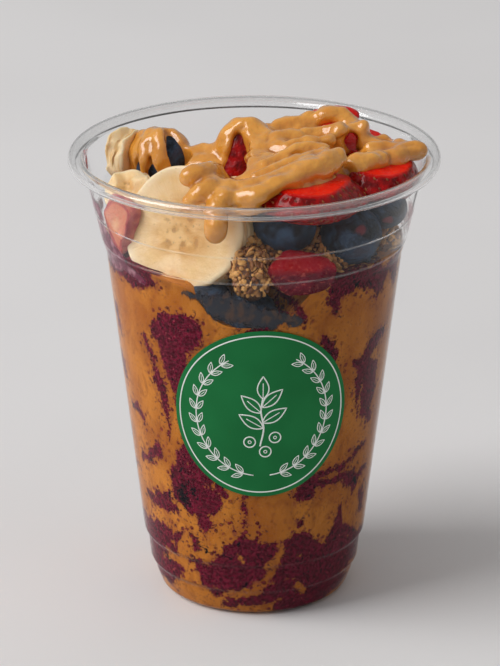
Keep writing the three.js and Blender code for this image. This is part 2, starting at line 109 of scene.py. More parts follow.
def make_mesh(name, points, faces, attributes=None, material=None):
    """A smooth-shaded mesh object from points in millimetres."""
    mesh = bpy.data.meshes.new(name)
    mesh.from_pydata((np.asarray(points, float) * MM).tolist(), [], faces)
    for key, values in (attributes or {}).items():
        values = np.asarray(values, np.float32)
        vector = values.ndim == 2
        layer = mesh.attributes.new(key, "FLOAT_VECTOR" if vector else "FLOAT", "POINT")
        layer.data.foreach_set("vector" if vector else "value", values.ravel())
    mesh.polygons.foreach_set("use_smooth", [True] * len(mesh.polygons))
    mesh.update()
    if material:
        mesh.materials.append(material)
    return linked(name, mesh)


def values_of(data, key, width):
    """The numbers of mesh data, as rows of the given width."""
    values = np.zeros(len(data) * width)
    data.foreach_get(key, values)
    return values.reshape(-1, width)


def capped_rings(rings):
    """Points and faces of a closed body of rings, with a fan at each end."""
    rows, sides, _ = rings.shape
    points = np.concatenate([rings.reshape(-1, 3), rings[:1].mean(1), rings[-1:].mean(1)])
    faces = grid_faces(rows, sides)
    first, last = rows * sides, rows * sides + 1
    for side in range(sides):
        beside = (side + 1) % sides
        faces.append([first, beside, side])
        faces.append([last, (rows - 1) * sides + side, (rows - 1) * sides + beside])
    return points, faces


def capped(values):
    """The values of a ring surface with those of its two end points added."""
    values = np.asarray(values, float)
    if values.ndim == 3:
        return np.concatenate([values.reshape(-1, 3), values[:1].mean(1), values[-1:].mean(1)])
    return np.concatenate([values.ravel(), [values[0].mean()], [values[-1].mean()]])


SCRAMBLE = (374761393, 668265263, 1013904223)  # large odd numbers, one for each axis


def rough(points, size, seed):
    """Smooth random values from -1 to 1 that change over about the given size."""
    p = np.asarray(points, float) / size + 31.7 * seed + 100
    cell = np.floor(p).astype(np.int64)
    f = p - cell
    f = f * f * (3 - 2 * f)
    total = 0
    for corner in np.ndindex(2, 2, 2):
        at = cell + np.array(corner)
        n = sum(at[..., axis] * SCRAMBLE[axis] for axis in range(3))
        n = (n ^ (n >> 13)) * 1274126177
        value = ((n ^ (n >> 16)) & 0xFFFF) / 32767.5 - 1
        weight = np.prod(np.where(np.array(corner) == 1, f, 1 - f), axis=-1)
        total = total + weight * value
    return total


def curve_through(points, steps):
    """A smooth line through rows of numbers (Catmull-Rom)."""
    p = np.asarray(points, float)
    p = np.concatenate([2 * p[:1] - p[1:2], p, 2 * p[-1:] - p[-2:-1]])
    line = []
    for i in range(1, len(p) - 2):
        for k in range(steps):
            t = k / steps
            a, b, c, d = p[i - 1 : i + 3]
            square, cube = 2 * a - 5 * b + 4 * c - d, 3 * b - a - 3 * c + d
            line.append(0.5 * (2 * b + (c - a) * t + square * t**2 + cube * t**3))
    line.append(p[-2])
    return np.array(line)


def rounded(line, cut=0.7, steps=4):
    """A line with its inner corners rounded off."""
    p = np.asarray(line, float)
    made = [p[0]]
    for before, corner, after in zip(p, p[1:], p[2:]):
        a, b = before - corner, after - corner
        length_a, length_b = np.linalg.norm(a), np.linalg.norm(b)
        start = corner + a / length_a * min(cut, 0.45 * length_a)
        end = corner + b / length_b * min(cut, 0.45 * length_b)
        for k in range(steps + 1):
            t = k / steps
            made.append((1 - t) ** 2 * start + 2 * t * (1 - t) * corner + t**2 * end)
    made.append(p[-1])
    return np.array(made)


def moved_in(line, distance):
    """A profile of radius and height, moved towards the inside of the cup."""
    way = np.gradient(line, axis=0)
    way /= np.linalg.norm(way, axis=1, keepdims=True)
    made = line + distance * np.stack([-way[:, 1], way[:, 0]], 1)
    made[:, 0] = np.maximum(made[:, 0], 0)
    return made


def spaced(line, step):
    """The same line with points about a step apart."""
    made = [line[:1]]
    for a, b in zip(line, line[1:]):
        count = max(1, round(np.linalg.norm(b - a) / step))
        made.append(a + (b - a) * (np.arange(1, count + 1) / count)[:, None])
    return np.concatenate(made)


def turned(profile, sides):
    """Rings of a profile of radius and height, turned round the cup's axis."""
    angle = round_angles(sides)
    return ring_points(profile[:, :1], angle, profile[:, 1:] + 0 * angle)


def azimuth_of(points):
    """The angle round the cup from its front."""
    return np.arctan2(points[..., 0], -points[..., 1])


def at_azimuth(azimuth, radius, z):
    """Points at an angle round the cup from its front."""
    return np.stack(np.broadcast_arrays(radius * np.sin(azimuth), -radius * np.cos(azimuth), z), -1)


def unit(v):
    v = np.asarray(v, float)
    return v / np.linalg.norm(v)


def stood(points, at, face=(0, 0, 1), along=(1, 0, 0)):
    """Points turned so that +Z looks along face and +X runs along, and moved to a place."""
    z = unit(face)
    x = np.asarray(along, float)
    x = unit(x - z * np.dot(x, z))
    return np.asarray(at, float) + points @ np.array([x, np.cross(z, x), z])


# ---------------------------------------------------------------- the cup's wall

SHEET, WALL_SURFACE, FOOD_SURFACE = (
    moved_in(rounded(CUP_OUTLINE), depth) for depth in (WALL / 2, 0, WALL - FOOD_PRESS)
)
BASE_RADIUS = 23  # inside this radius a profile is the cup's base


def radius_on(profile, z):
    """The radius of the wall at a height."""
    upper = profile[profile[:, 0] > BASE_RADIUS]
    return np.interp(z, upper[:, 1], upper[:, 0])


def kept_inside(points, reach=0.0):
    """Points that would pass the wall are pressed flat against it."""
    limit = radius_on(FOOD_SURFACE, points[..., 2]) + reach
    r = np.hypot(points[..., 0], points[..., 1])
    points = points.copy()
    points[..., :2] *= np.minimum(1, limit / np.maximum(r, 1e-6))[..., None]
    return points


# ---------------------------------------------------------------- materials

# The materials read these attributes of a mesh's points:
# swirl, peel and fade: how far inside the nearest stroke a point lies, in millimetres
# hollow: how far it lies below its surroundings, from -1 to 1; the peanut sauce uses it to paint shade
# into its hollows and light onto its raised places
# place: where it is in the piece's own frame, in metres
# depth: 0 in the middle of a cut face and 1 at its rim; on a berry, 1 inside the crown
# skin, and the stain share after it: the share of skin, and of smoothie stain; on banana_back that second
# share is painted shade
# shade: how dark a crumb or seed is; the granola bed is set darker than any crumb, as painted shade
# between the crumbs


def srgb(r, g, b):
    """A screen colour of 0 to 255 as the linear colour that a shader takes."""
    linear = [((c / 255 + 0.055) / 1.055) ** 2.4 if c > 10 else c / 3295 for c in (r, g, b)]
    return (*linear, 1.0)


class Tree:
    """A node tree that is built one node at a time."""

    def __init__(self, tree):
        self.tree = tree
        tree.nodes.clear()

    def feed(self, socket, value):
        if isinstance(value, Field):
            self.tree.links.new(value.socket, socket)
        else:
            socket.default_value = value

    def add(self, kind, settings=None, inputs=None, output=0):
        """Adds a node: its settings first, then its sockets. Gives the named output."""
        node = self.tree.nodes.new(kind)
        for key, value in (settings or {}).items():
            setattr(node, key, value)
        for key, value in (inputs or {}).items():
            self.feed(node.inputs[key], value)
        return Field(self, node.outputs[output]) if node.outputs else None


class Field:
    """A socket whose sums and products add Math nodes."""

    def __init__(self, tree, socket):
        self.tree = tree
        self.socket = socket

    def math(self, operation, other, flip=False):
        inputs = {0: other, 1: self} if flip else {0: self, 1: other}
        return self.tree.add("ShaderNodeMath", {"operation": operation}, inputs)

    def __add__(self, other):
        return self.math("ADD", other)

    def __sub__(self, other):
        return self.math("SUBTRACT", other)

    def __rsub__(self, other):
        return self.math("SUBTRACT", other, flip=True)

    def __mul__(self, other):
        return self.math("MULTIPLY", other)

    __radd__ = __add__

    def most(self, other):
        return self.math("MAXIMUM", other)

    def dyed(self, share, *screen_colour):
        """This colour with its share turned to a screen colour."""
        return self.tree.mix(share, self, screen_colour)

    def step(self, low, high):
        """0 at low and 1 at high, smooth between them."""
        return self.tree.add(
            "ShaderNodeMapRange",
            {"interpolation_type": "SMOOTHSTEP"},
            {"Value": self, "From Min": low, "From Max": high},
        )


class Finish(Tree):
    """A procedural material."""

    def __init__(self, name):
        self.material = bpy.data.materials.new(name)
        self.material.use_nodes = True
        super().__init__(self.material.node_tree)

    def place(self):
        return self.add("ShaderNodeTexCoord", output="Object")

    def attribute(self, name, output="Fac"):
        return self.add("ShaderNodeAttribute", {"attribute_name": name}, output=output)

    def stretched(self, vector, scale):
        return self.add("ShaderNodeVectorMath", {"operation": "MULTIPLY"}, {0: vector, 1: scale})

    def noise(self, size, vector=None, detail=2, distortion=0):
        """Noise whose bumps are about the given size in millimetres."""
        inputs = {
            "Vector": vector or self.place(),
            "Scale": 1 / (size * MM),
            "Detail": detail,
            "Distortion": distortion,
        }
        return self.add("ShaderNodeTexNoise", None, inputs)

    def rays(self, vector, count, detail):
        """Noise that runs in rays from the middle of a piece."""
        flat = self.stretched(vector, (1, 1, 0))
        way = self.add("ShaderNodeVectorMath", {"operation": "NORMALIZE"}, {0: flat})
        return self.noise(1 / (count * MM), way, detail)

    def cells(self, size, feature="F1"):
        inputs = {"Vector": self.place(), "Scale": 1 / (size * MM)}
        return self.add("ShaderNodeTexVoronoi", {"feature": feature}, inputs, "Distance")

    def mix(self, share, a, b):
        """Colour a, with its share turned to colour b. Three plain numbers are a screen colour."""
        a, b = (srgb(*c) if isinstance(c, tuple) and len(c) == 3 else c for c in (a, b))
        return self.add("ShaderNodeMix", {"data_type": "RGBA"}, {"Factor": share, 6: a, 7: b}, 2)

    def bump(self, height, distance):
        return self.add("ShaderNodeBump", None, {"Height": height, "Distance": distance * MM})

    def shader(self, **inputs):
        """A Principled shader; names are written with underscores for spaces."""
        named = {key.replace("_", " "): value for key, value in inputs.items()}
        return self.add("ShaderNodeBsdfPrincipled", None, named)

    def shown(self, shader):
        self.add("ShaderNodeOutputMaterial", None, {"Surface": shader})
        return self.material

    def done(self, **inputs):
        """The material with a Principled shader alone."""
        return self.shown(self.shader(**inputs))


def lamp_clear(f, body, tint):
    """Lets the lamps shine through clear plastic, so that what is behind it isn't dark."""
    lamp = f.add("ShaderNodeBsdfTransparent", None, {"Color": (tint, tint, tint, 1)})
    shadow = f.add("ShaderNodeLightPath", output="Is Shadow Ray")
    return f.shown(f.add("ShaderNodeMixShader", None, {0: shadow, 1: body, 2: lamp}))


def clear_plastic():
    """The sheet of the wall: clear, with a low mirror so that the food behind it stays deep."""
    f = Finish("clear_plastic")
    haze = f.noise(9, detail=3)
    ripple = f.noise(14, f.stretched(f.place(), (1, 1, 0.25)), detail=1)
    body = f.shader(
        Base_Color=(1, 1, 1, 1),
        Roughness=0.01 + haze * 0.02,
        IOR=1.2,
        Transmission_Weight=1.0,
        Normal=f.bump(ripple, 0.25),
    )
    return lamp_clear(f, body, 0.97)


def rim_plastic():
    """The rolled rim and the mould rings, which bend and mirror more than the flat sheet."""
    f = Finish("rim_plastic")
    haze = f.noise(6)
    body = f.shader(
        Base_Color=f.mix(haze, (0.97, 0.97, 0.97, 1), (1, 1, 1, 1)),
        Roughness=0.02 + haze * 0.04,
        IOR=1.36,
        Transmission_Weight=0.97,
        Coat_Weight=0.5,
        Coat_Roughness=0.03,
    )
    return lamp_clear(f, body, 0.94)


def swirled_acai():
    """Purple smoothie, orange-brown smoothie and the ragged edge between them."""
    f = Finish("swirled_acai")
    here = f.place()
    drawn = f.stretched(here, (1, 1, 0.6))
    drag = f.noise(2.4, drawn, distortion=0.4)
    fray = f.noise(0.6, here)
    edge = f.attribute("swirl") + (drag - 0.5) * 4 + (fray - 0.5) * 2.6
    bits = f.cells(2.3) + (fray - 0.5) * 0.3
    islands = bits.step(0.3, 0.22) * edge.step(-4.2, -0.6)
    purple_share = edge.step(-0.24, 0.26).most(islands * 0.9)

    mottle = f.noise(0.9, here, detail=3)
    purple = f.mix(mottle.step(0.35, 0.7), (68, 4, 22), (122, 19, 48))
    grain = f.cells(0.7)
    purple = purple.dyed(grain.step(0.34, 0.1) * 0.5, 172, 50, 84)
    pulp = f.noise(0.5, here, detail=1)
    purple = purple.dyed(pulp.step(0.7, 0.78), 210, 96, 104)
    peel = f.noise(1.0, here, distortion=1.0)
    purple = purple.dyed(peel.step(0.62, 0.68), 24, 8, 20)
    clot = f.noise(2.6, here, detail=3, distortion=0.8)
    purple = purple.dyed(clot.step(0.64, 0.68), 20, 10, 22)
    peel_heap = (f.attribute("peel") + (peel - 0.5) * 7 + (pulp - 0.5) * 3).step(0.0, 0.3)

    cloud = f.noise(9, drawn)
    nut = f.mix(cloud.step(0.3, 0.7), (202, 128, 46), (172, 98, 30))
    stir = f.noise(3.5, drawn, detail=4, distortion=0.8)
    nut = nut.dyed(stir.step(0.5, 0.66) * 0.5, 146, 78, 26)
    nut = nut.dyed(f.noise(0.6, here).step(0.6, 0.75) * 0.4, 212, 148, 78)
    near_purple = edge.step(-3.2, -0.2)
    dots = f.noise(0.8, here).step(0.6, 0.67) * (0.35 + near_purple * 0.65)
    nut = nut.dyed(dots, 74, 36, 40)
    spray = f.noise(1.5, drawn).step(0.6, 0.68) * near_purple * 0.6
    nut = nut.dyed(spray, 126, 48, 56)
    nut = nut.dyed(edge.step(-1.2, 0.0) * 0.35, 138, 66, 46)

    colour = f.mix(purple_share, nut, purple)
    colour = colour.dyed(peel_heap, 16, 12, 20)
    lumps = purple_share * f.noise(0.8, here, detail=3) + f.noise(2.5, here) * 0.4
    return f.done(
        Base_Color=colour,
        Roughness=0.5 + purple_share * 0.12,
        Specular_IOR_Level=0.1,
        Normal=f.bump(lumps, 0.25),
    )


def peanut_sauce():
    f = Finish("peanut_sauce")
    here = f.place()
    cloud = f.noise(7, here)
    colour = f.mix(cloud.step(0.3, 0.72), (237, 165, 66), (215, 140, 44))
    hollow = f.attribute("hollow")
    # Painted shade: the sauce is darkened in its hollows and creases; painted light: it is lightened on
    # its raised places.
    colour = colour.dyed(hollow.step(-0.1, 0.9) * 0.85, 152, 80, 18)
    colour = colour.dyed((0 - hollow).step(0.2, 1.0) * 0.25, 246, 190, 112)
    crumbs = f.noise(0.5, here, detail=1).step(0.68, 0.8) * 0.3
    colour = colour.dyed(crumbs, 168, 106, 52)
    surface = f.noise(1.1, here) + f.noise(3, here) * 2
    return f.done(
        Base_Color=colour,
        Roughness=0.14 + cloud * 0.1,
        IOR=1.46,
        Coat_Weight=1.0,
        Coat_Roughness=0.05,
        Subsurface_Weight=0.12,
        Subsurface_Radius=(1.0, 0.5, 0.2),
        Subsurface_Scale=0.0012,
        Normal=f.bump(surface, 0.2),
    )


def banana_flesh():
    f = Finish("banana_flesh")
    here = f.attribute("place", "Vector")
    share = f.attribute("depth")
    rays = f.rays(here, 26, 2)
    soft = f.noise(5, here, detail=3)
    colour = f.mix(soft.step(0.3, 0.7), (248, 216, 170), (240, 202, 142))
    colour = colour.dyed(share.step(0.8, 1.0) * 0.6, 253, 236, 204)
    core = (share + (rays - 0.5) * 0.2 + (soft - 0.5) * 0.2).step(0.5, 0.36)
    colour = colour.dyed(core * 0.65, 232, 184, 112)
    lines = rays.step(0.5, 0.66) * share.step(0.16, 0.4) * share.step(1.0, 0.75) * 0.14
    colour = colour.dyed(lines, 220, 174, 112)
    middle = share.step(0.46, 0.24)
    smudge = f.noise(4.5, here, detail=3, distortion=0.2).step(0.4, 0.62) * share.step(0.7, 0.3)
    colour = colour.dyed(smudge * 0.85, 208, 150, 78)
    flecks = f.noise(2.4, here).step(0.54, 0.64) * middle
    colour = colour.dyed(flecks * 0.6, 172, 128, 80)
    specks = f.noise(0.8, here).step(0.62, 0.72) * middle
    colour = colour.dyed(specks * 0.35, 112, 88, 76)
    dots = f.noise(0.5, here, detail=1).step(0.72, 0.78) * 0.5
    colour = colour.dyed(dots, 150, 112, 76)
    # Painted shade: banana_back alone gets this deeper yellow, on its right side beside the peanut butter.
    colour = colour.dyed(f.attribute("stain_and_shade"), 226, 170, 84)
    skin_side = f.attribute("skin")
    layers = f.noise(1.3, f.stretched(here, (0.2, 0.2, 1)), detail=2)
    colour = colour.dyed(skin_side * 0.5, 242, 208, 150)
    colour = colour.dyed(skin_side * layers.step(0.46, 0.62) * 0.7, 214, 164, 96)
    surface = rays * 0.3 + f.noise(1.2, here, detail=3)
    return f.done(
        Base_Color=colour,
        Roughness=0.38 + soft * 0.15,
        Subsurface_Weight=0.18,
        Subsurface_Radius=(1.0, 0.7, 0.35),
        Subsurface_Scale=0.0016,
        Normal=f.bump(surface, 0.16),
    )


def blueberry_skin():
    f = Finish("blueberry_skin")
    here = f.attribute("place", "Vector")
    bloom = f.noise(4.5, here, detail=3, distortion=0.5)
    dust = f.noise(0.7, here, detail=3)
    wax = (bloom * 0.75 + dust * 0.25).step(0.36, 0.66)
    colour = f.mix(wax, (12, 15, 24), (64, 86, 112))
    ruddy = f.noise(5, here, distortion=0.4).step(0.54, 0.7)
    colour = colour.dyed(ruddy * 0.6, 62, 42, 42)
    scratches = f.cells(1.6, feature="DISTANCE_TO_EDGE").step(0.06, 0.0)
    colour = colour.dyed(scratches * dust.step(0.45, 0.6) * 0.8, 14, 16, 24)
    colour = colour.dyed(f.attribute("stain_and_shade"), 108, 38, 48)
    colour = colour.dyed(f.attribute("depth").step(0.3, 0.9), 14, 13, 18)
    return f.done(
        Base_Color=colour,
        Roughness=0.46 + wax * 0.3,
        Specular_IOR_Level=0.25,
        Normal=f.bump(dust + f.noise(2.2, here), 0.12),
    )


def strawberry_flesh(name, inner, flesh, rim, skin_light, skin_dark):
    """Flesh with rays on its cut faces, and skin; the smoothie stains both."""
    f = Finish(name)
    here = f.attribute("place", "Vector")
    share = f.attribute("depth")
    skin = f.attribute("skin")
    rays = f.rays(here, 18, 3)
    soft = f.noise(2.5, here, detail=3)
    cut = f.mix(share.step(0.0, 0.45), inner, flesh)
    cut = f.mix(rays.step(0.5, 0.72) * share.step(0.95, 0.5) * 0.25, cut, inner)
    cut = f.mix(soft.step(0.5, 0.75) * 0.4, cut, rim)
    cut = f.mix(share.step(0.86, 1.0) * 0.85, cut, rim)
    red = f.mix(soft.step(0.3, 0.7), skin_light, skin_dark)
    colour = f.mix(skin, cut, red)
    stained = f.mix(soft.step(0.4, 0.7), (96, 2, 28), (124, 18, 44))
    colour = f.mix(f.attribute("stain_and_shade"), colour, stained)
    specks = f.noise(0.7, here).step(0.56, 0.7) * (1 - skin) * 0.4
    colour = colour.dyed(specks, 236, 104, 92)
    surface = rays * 0.5 * (1 - skin) + f.noise(0.9, here, detail=3) * 0.8 + f.noise(2.0, here) * skin * 4
    return f.done(
        Base_Color=colour,
        Roughness=0.2 + soft * 0.2,
        Specular_IOR_Level=0.1,
        Coat_Weight=0.2 + skin * 0.35,
        Coat_Roughness=0.04,
        Coat_IOR=1.36,
        Subsurface_Weight=0.1,
        Subsurface_Radius=(1.0, 0.25, 0.15),
        Subsurface_Scale=0.0012,
        Normal=f.bump(surface, 0.22),
    )


def strawberry_seed():
    f = Finish("strawberry_seed")
    shade = f.attribute("shade")
    colour = f.mix(shade, (168, 92, 36), (104, 24, 12))
    return f.done(Base_Color=colour, Roughness=0.3 + f.noise(0.6) * 0.2)


def toasted_oats():
    f = Finish("toasted_oats")
    here = f.place()
    shade = f.attribute("shade")
    grain = f.noise(0.5, here, detail=3)
    toast = (shade * 0.85 + grain * 0.5).step(0.25, 1.1)
    colour = f.mix(toast, (238, 178, 100), (138, 82, 38))
    # Painted shade: only the granola bed reaches this deep brown, so the gaps between the crumbs look
    # shadowed.
    colour = colour.dyed(shade.step(1.3, 1.9), 78, 44, 24)
    dark = f.noise(0.8, here).step(0.56, 0.68) * 0.4
    colour = colour.dyed(dark, 66, 38, 22)
    return f.done(
        Base_Color=colour,
        Roughness=0.42 + grain * 0.3,
        Coat_Weight=0.25,
        Coat_Roughness=0.15,
        Normal=f.bump(f.noise(0.4, here, detail=3), 0.2),
    )


def label_paper():
    f = Finish("label_paper")
    fibre = f.noise(0.4)
    cloud = f.noise(12, detail=1)
    colour = f.mix(cloud.step(0.3, 0.7) * 0.6 + fibre * 0.2, (30, 122, 66), (22, 106, 55))
    return f.done(
        Base_Color=colour,
        Roughness=0.5 + fibre * 0.1,
        Specular_IOR_Level=0.12,
        Normal=f.bump(fibre, 0.02),
    )


def label_ink():
    f = Finish("label_ink")
    fibre = f.noise(0.3)
    colour = f.mix(fibre.step(0.3, 0.8) * 0.4, (244, 248, 244), (222, 234, 224))
    return f.done(Base_Color=colour, Roughness=0.45 + fibre * 0.1)


def juice_film(name, colour_a, colour_b, cover, patch_size=3.0, ragged=2.4):
    """A thin smear on the inside of the wall, broken up by noise."""
    f = Finish(name)
    here = f.place()
    patch = f.noise(patch_size, f.stretched(here, (1, 1, 0.6)), detail=3, distortion=0.7)
    tint = f.noise(patch_size * 0.9, f.stretched(here, (1, 1, 0.9)), detail=3)
    colour = f.mix(tint.step(0.46, 0.68), colour_a, colour_b)
    share = (f.attribute("fade") + (patch - 0.5) * ragged).step(-0.1, 1.1) * cover
    return f.done(Base_Color=colour, Roughness=0.4 + patch * 0.1, Alpha=share)


def studio_floor():
    f = Finish("studio_floor")
    soft = f.noise(160)
    colour = f.mix(soft.step(0.3, 0.7), (237, 235, 235), (233, 231, 231))
    return f.done(Base_Color=colour, Roughness=0.75 + soft * 0.1, Specular_IOR_Level=0.1)


CLEAR_PLASTIC = clear_plastic()
RIM_PLASTIC = rim_plastic()
SWIRLED_ACAI = swirled_acai()
PEANUT_SAUCE = peanut_sauce()
BANANA_FLESH = banana_flesh()
BLUEBERRY_SKIN = blueberry_skin()
# the middle of the flesh, the flesh, its rim, and the skin's lighter and darker tones
STRAWBERRY_COLOURS = {
    "strawberry_flesh": [(248, 92, 42), (246, 26, 6), (196, 6, 4), (172, 4, 6), (104, 2, 5)],
    "bare_strawberry": [(248, 92, 42), (246, 26, 6), (206, 8, 4), (236, 26, 8), (190, 6, 4)],
    "pale_strawberry": [(232, 176, 132), (214, 136, 108), (176, 74, 82), (210, 126, 108), (170, 70, 84)],
}
STRAWBERRY_FLESH, BARE_STRAWBERRY, PALE_STRAWBERRY = (
    strawberry_flesh(name, *colours) for name, colours in STRAWBERRY_COLOURS.items()
)
STRAWBERRY_SEED = strawberry_seed()
TOASTED_OATS = toasted_oats()
LABEL_PAPER = label_paper()
LABEL_INK = label_ink()
PURPLE_FILM = juice_film("purple_film", (118, 30, 66), (196, 140, 152), 0.82)
PINK_FILM = juice_film("pink_film", (214, 130, 140), (226, 166, 170), 0.4)
RED_FILM = juice_film("red_film", (200, 22, 34), (160, 10, 30), 0.95, 1.6)
BLUE_FILM = juice_film("blue_film", (32, 38, 50), (84, 58, 44), 0.94, 2.2, 7.0)


def settled(piece, slot, *nodes):
    """Ties a finished piece to the cup and hides the solids it replaces."""
    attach(piece, "root")
    if nodes:
        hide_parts(*nodes)
    return piece


# ---------------------------------------------------------------- cup and sticker

CUP_SIDES = 180
CUP_STEP = 0.7  # between the cup's rings


def cup():
    line = np.concatenate([spaced(SHEET, CUP_STEP), curve_through(RIM_CURL, 4)[1:]])
    outer, inner = moved_in(line, -WALL / 2), moved_in(line, WALL / 2)
    profile = np.concatenate([outer[1:], inner[:0:-1]])
    points, faces = capped_rings(turned(profile, CUP_SIDES))
    shell = make_mesh("cup_shell", points, faces, material=CLEAR_PLASTIC)
    shell.data.materials.append(RIM_PLASTIC)
    radius, z = np.hypot(points[:, 0], points[:, 1]), points[:, 2]
    bright = []
    for face in faces:
        low, high = z[face].min(), z[face].max()
        ring = any(start < low and high < end for start, end in MOULD_RINGS)
        bright.append(int(ring or radius[face].min() > RIM_FROM))
    shell.data.polygons.foreach_set("material_index", bright)
    return shell


def on_sticker(across, up, lift):
    """A place on the wall, measured from the sticker's centre."""
    z = STICKER_HEIGHT + up
    wall = radius_on(WALL_SURFACE, z)
    return at_azimuth(STICKER_AZIMUTH + STICKER_SQUEEZE * across / wall, wall + lift, z)


LABEL_UNDER, LABEL_TOP = -0.05, 0.2  # the label's two faces, measured outwards from the wall
INK_UNDER, INK_TOP = 0.16, 0.25
LABEL_SIDES, LABEL_ROWS = 160, 18
LABEL_EDGE = (0.02, 0.16)  # the two rings of its cut edge


def sticker():
    face = np.linspace(0.02, 0.995, LABEL_ROWS)
    share = np.concatenate([face, [1, 1], face[::-1]])
    flat = np.ones(LABEL_ROWS)
    lift = np.concatenate([LABEL_UNDER * flat, LABEL_EDGE, LABEL_TOP * flat])
    angle = round_angles(LABEL_SIDES)
    r = STICKER_RADIUS * share[:, None]
    rings = on_sticker(r * np.cos(angle), r * np.sin(angle), lift[:, None])
    points, faces = capped_rings(rings)
    return make_mesh("sticker_label", points, faces, material=LABEL_PAPER)


class Print:
    """White line work on the sticker, as thin raised ink."""

    def __init__(self):
        self.points = []
        self.faces = []

    def stroke(self, path, width, closed=False):
        """A line of ink with a square section along a path on the sticker."""
        path = np.asarray(path, float)
        if closed:
            way = np.roll(path, -1, 0) - np.roll(path, 1, 0)
        else:
            way = np.gradient(path, axis=0)
        way /= np.linalg.norm(way, axis=1, keepdims=True)
        side = np.stack([-way[:, 1], way[:, 0]], 1) * width / 2
        left, right = path + side, path - side
        section = [(left, INK_UNDER), (right, INK_UNDER), (right, INK_TOP), (left, INK_TOP)]
        rings = np.stack([on_sticker(p[:, 0], p[:, 1], lift) for p, lift in section], 1)
        first = len(self.points)
        self.points.extend(rings.reshape(-1, 3))
        count = len(path)
        for i in range(count if closed else count - 1):
            j = (i + 1) % count
            for k in range(4):
                a, b = first + 4 * i + k, first + 4 * i + (k + 1) % 4
                c, d = first + 4 * j + (k + 1) % 4, first + 4 * j + k
                self.faces.append([a, d, c, b])
        if not closed:
            last = first + 4 * (count - 1)
            self.faces.append([first, first + 1, first + 2, first + 3])
            self.faces.append([last + 3, last + 2, last + 1, last])

    def ring(self, radius, width, centre=(0, 0), sides=120):
        angle = round_angles(sides)
        circle = np.stack([np.cos(angle), np.sin(angle)], 1) * radius
        self.stroke(circle + np.array(centre), width, closed=True)

    def leaf(self, foot, heading, length, breadth, width):
        """An outlined leaf with its midrib."""
        t = np.linspace(0, 1, 16)
        bow = breadth / 2 * np.sin(math.pi * t**0.85)
        edge = np.concatenate([np.stack([t, bow / length], 1), np.stack([t, -bow / length], 1)[-2:0:-1]])
        turn = np.array([[math.cos(heading), math.sin(heading)], [-math.sin(heading), math.cos(heading)]])
        self.stroke(foot + length * edge @ turn, width, closed=True)
        rib = np.stack([np.linspace(0.0, 0.7, 8), np.zeros(8)], 1)
        self.stroke(foot + length * rib @ turn, 0.7 * width)

    def solid(self, name):
        return make_mesh(name, self.points, self.faces, material=LABEL_INK)


RING_RADIUS, RING_WIDTH = 22.4, 0.34
SPRAY_RADIUS, SPRAY_WIDTH = 17.6, 0.3
SPRAY_LEAVES = 11
SPRAY_LEAF = (3.1, 1.2, 0.22)  # length, breadth and width of line
STALK = [(-0.5, -9), (0.4, -4), (-0.3, 1), (0.2, 5)]
BRANCH_LEAVES = [  # foot, heading, length and breadth
    ((0.2, 4.6), math.pi / 2, 6.4, 3.0),
    ((0.0, 2.2), 0.75, 7.2, 3.0),
    ((-0.2, 0.6), math.pi - 0.75, 7.2, 3.0),
    ((0.1, -2.2), 0.55, 7.4, 3.1),
    ((0.3, -3.8), math.pi - 0.55, 7.4, 3.1),
]
BRANCH_BERRIES = [(3.4, -6.6), (-3.2, -7.8), (0.9, -10.6)]


def sticker_print():
    """A single ring, a wreath of leaves in two sprays and a small branch with berries."""
    art = Print()
    art.ring(RING_RADIUS, RING_WIDTH)
    for side in (1, -1):
        stem = [-math.pi / 2 + side * a for a in np.linspace(0.12, 2.62, 40)]
        art.stroke([(SPRAY_RADIUS * math.cos(a), SPRAY_RADIUS * math.sin(a)) for a in stem], SPRAY_WIDTH)
        for i in range(SPRAY_LEAVES):
            a = -math.pi / 2 + side * (0.28 + 0.22 * i)
            for tilt, r in ((0.55, SPRAY_RADIUS + 0.3), (-0.55, SPRAY_RADIUS - 0.3)):
                foot = np.array([r * math.cos(a), r * math.sin(a)])
                art.leaf(foot, a + side * (math.pi / 2 - tilt), *SPRAY_LEAF)
    art.stroke(curve_through(STALK, 8), 0.42)
    for foot, heading, length, breadth in BRANCH_LEAVES:
        art.leaf(np.array(foot), heading, length, breadth, 0.32)
    for centre in BRANCH_BERRIES:
        art.ring(1.5, 0.32, centre, 28)
        art.ring(0.4, 0.22, centre, 14)
    return art.solid("sticker_print")


settled(cup(), "cup", "cup")
settled(sticker(), "sticker", "sticker")
settled(sticker_print(), "sticker")

# ---------------------------------------------------------------- acai

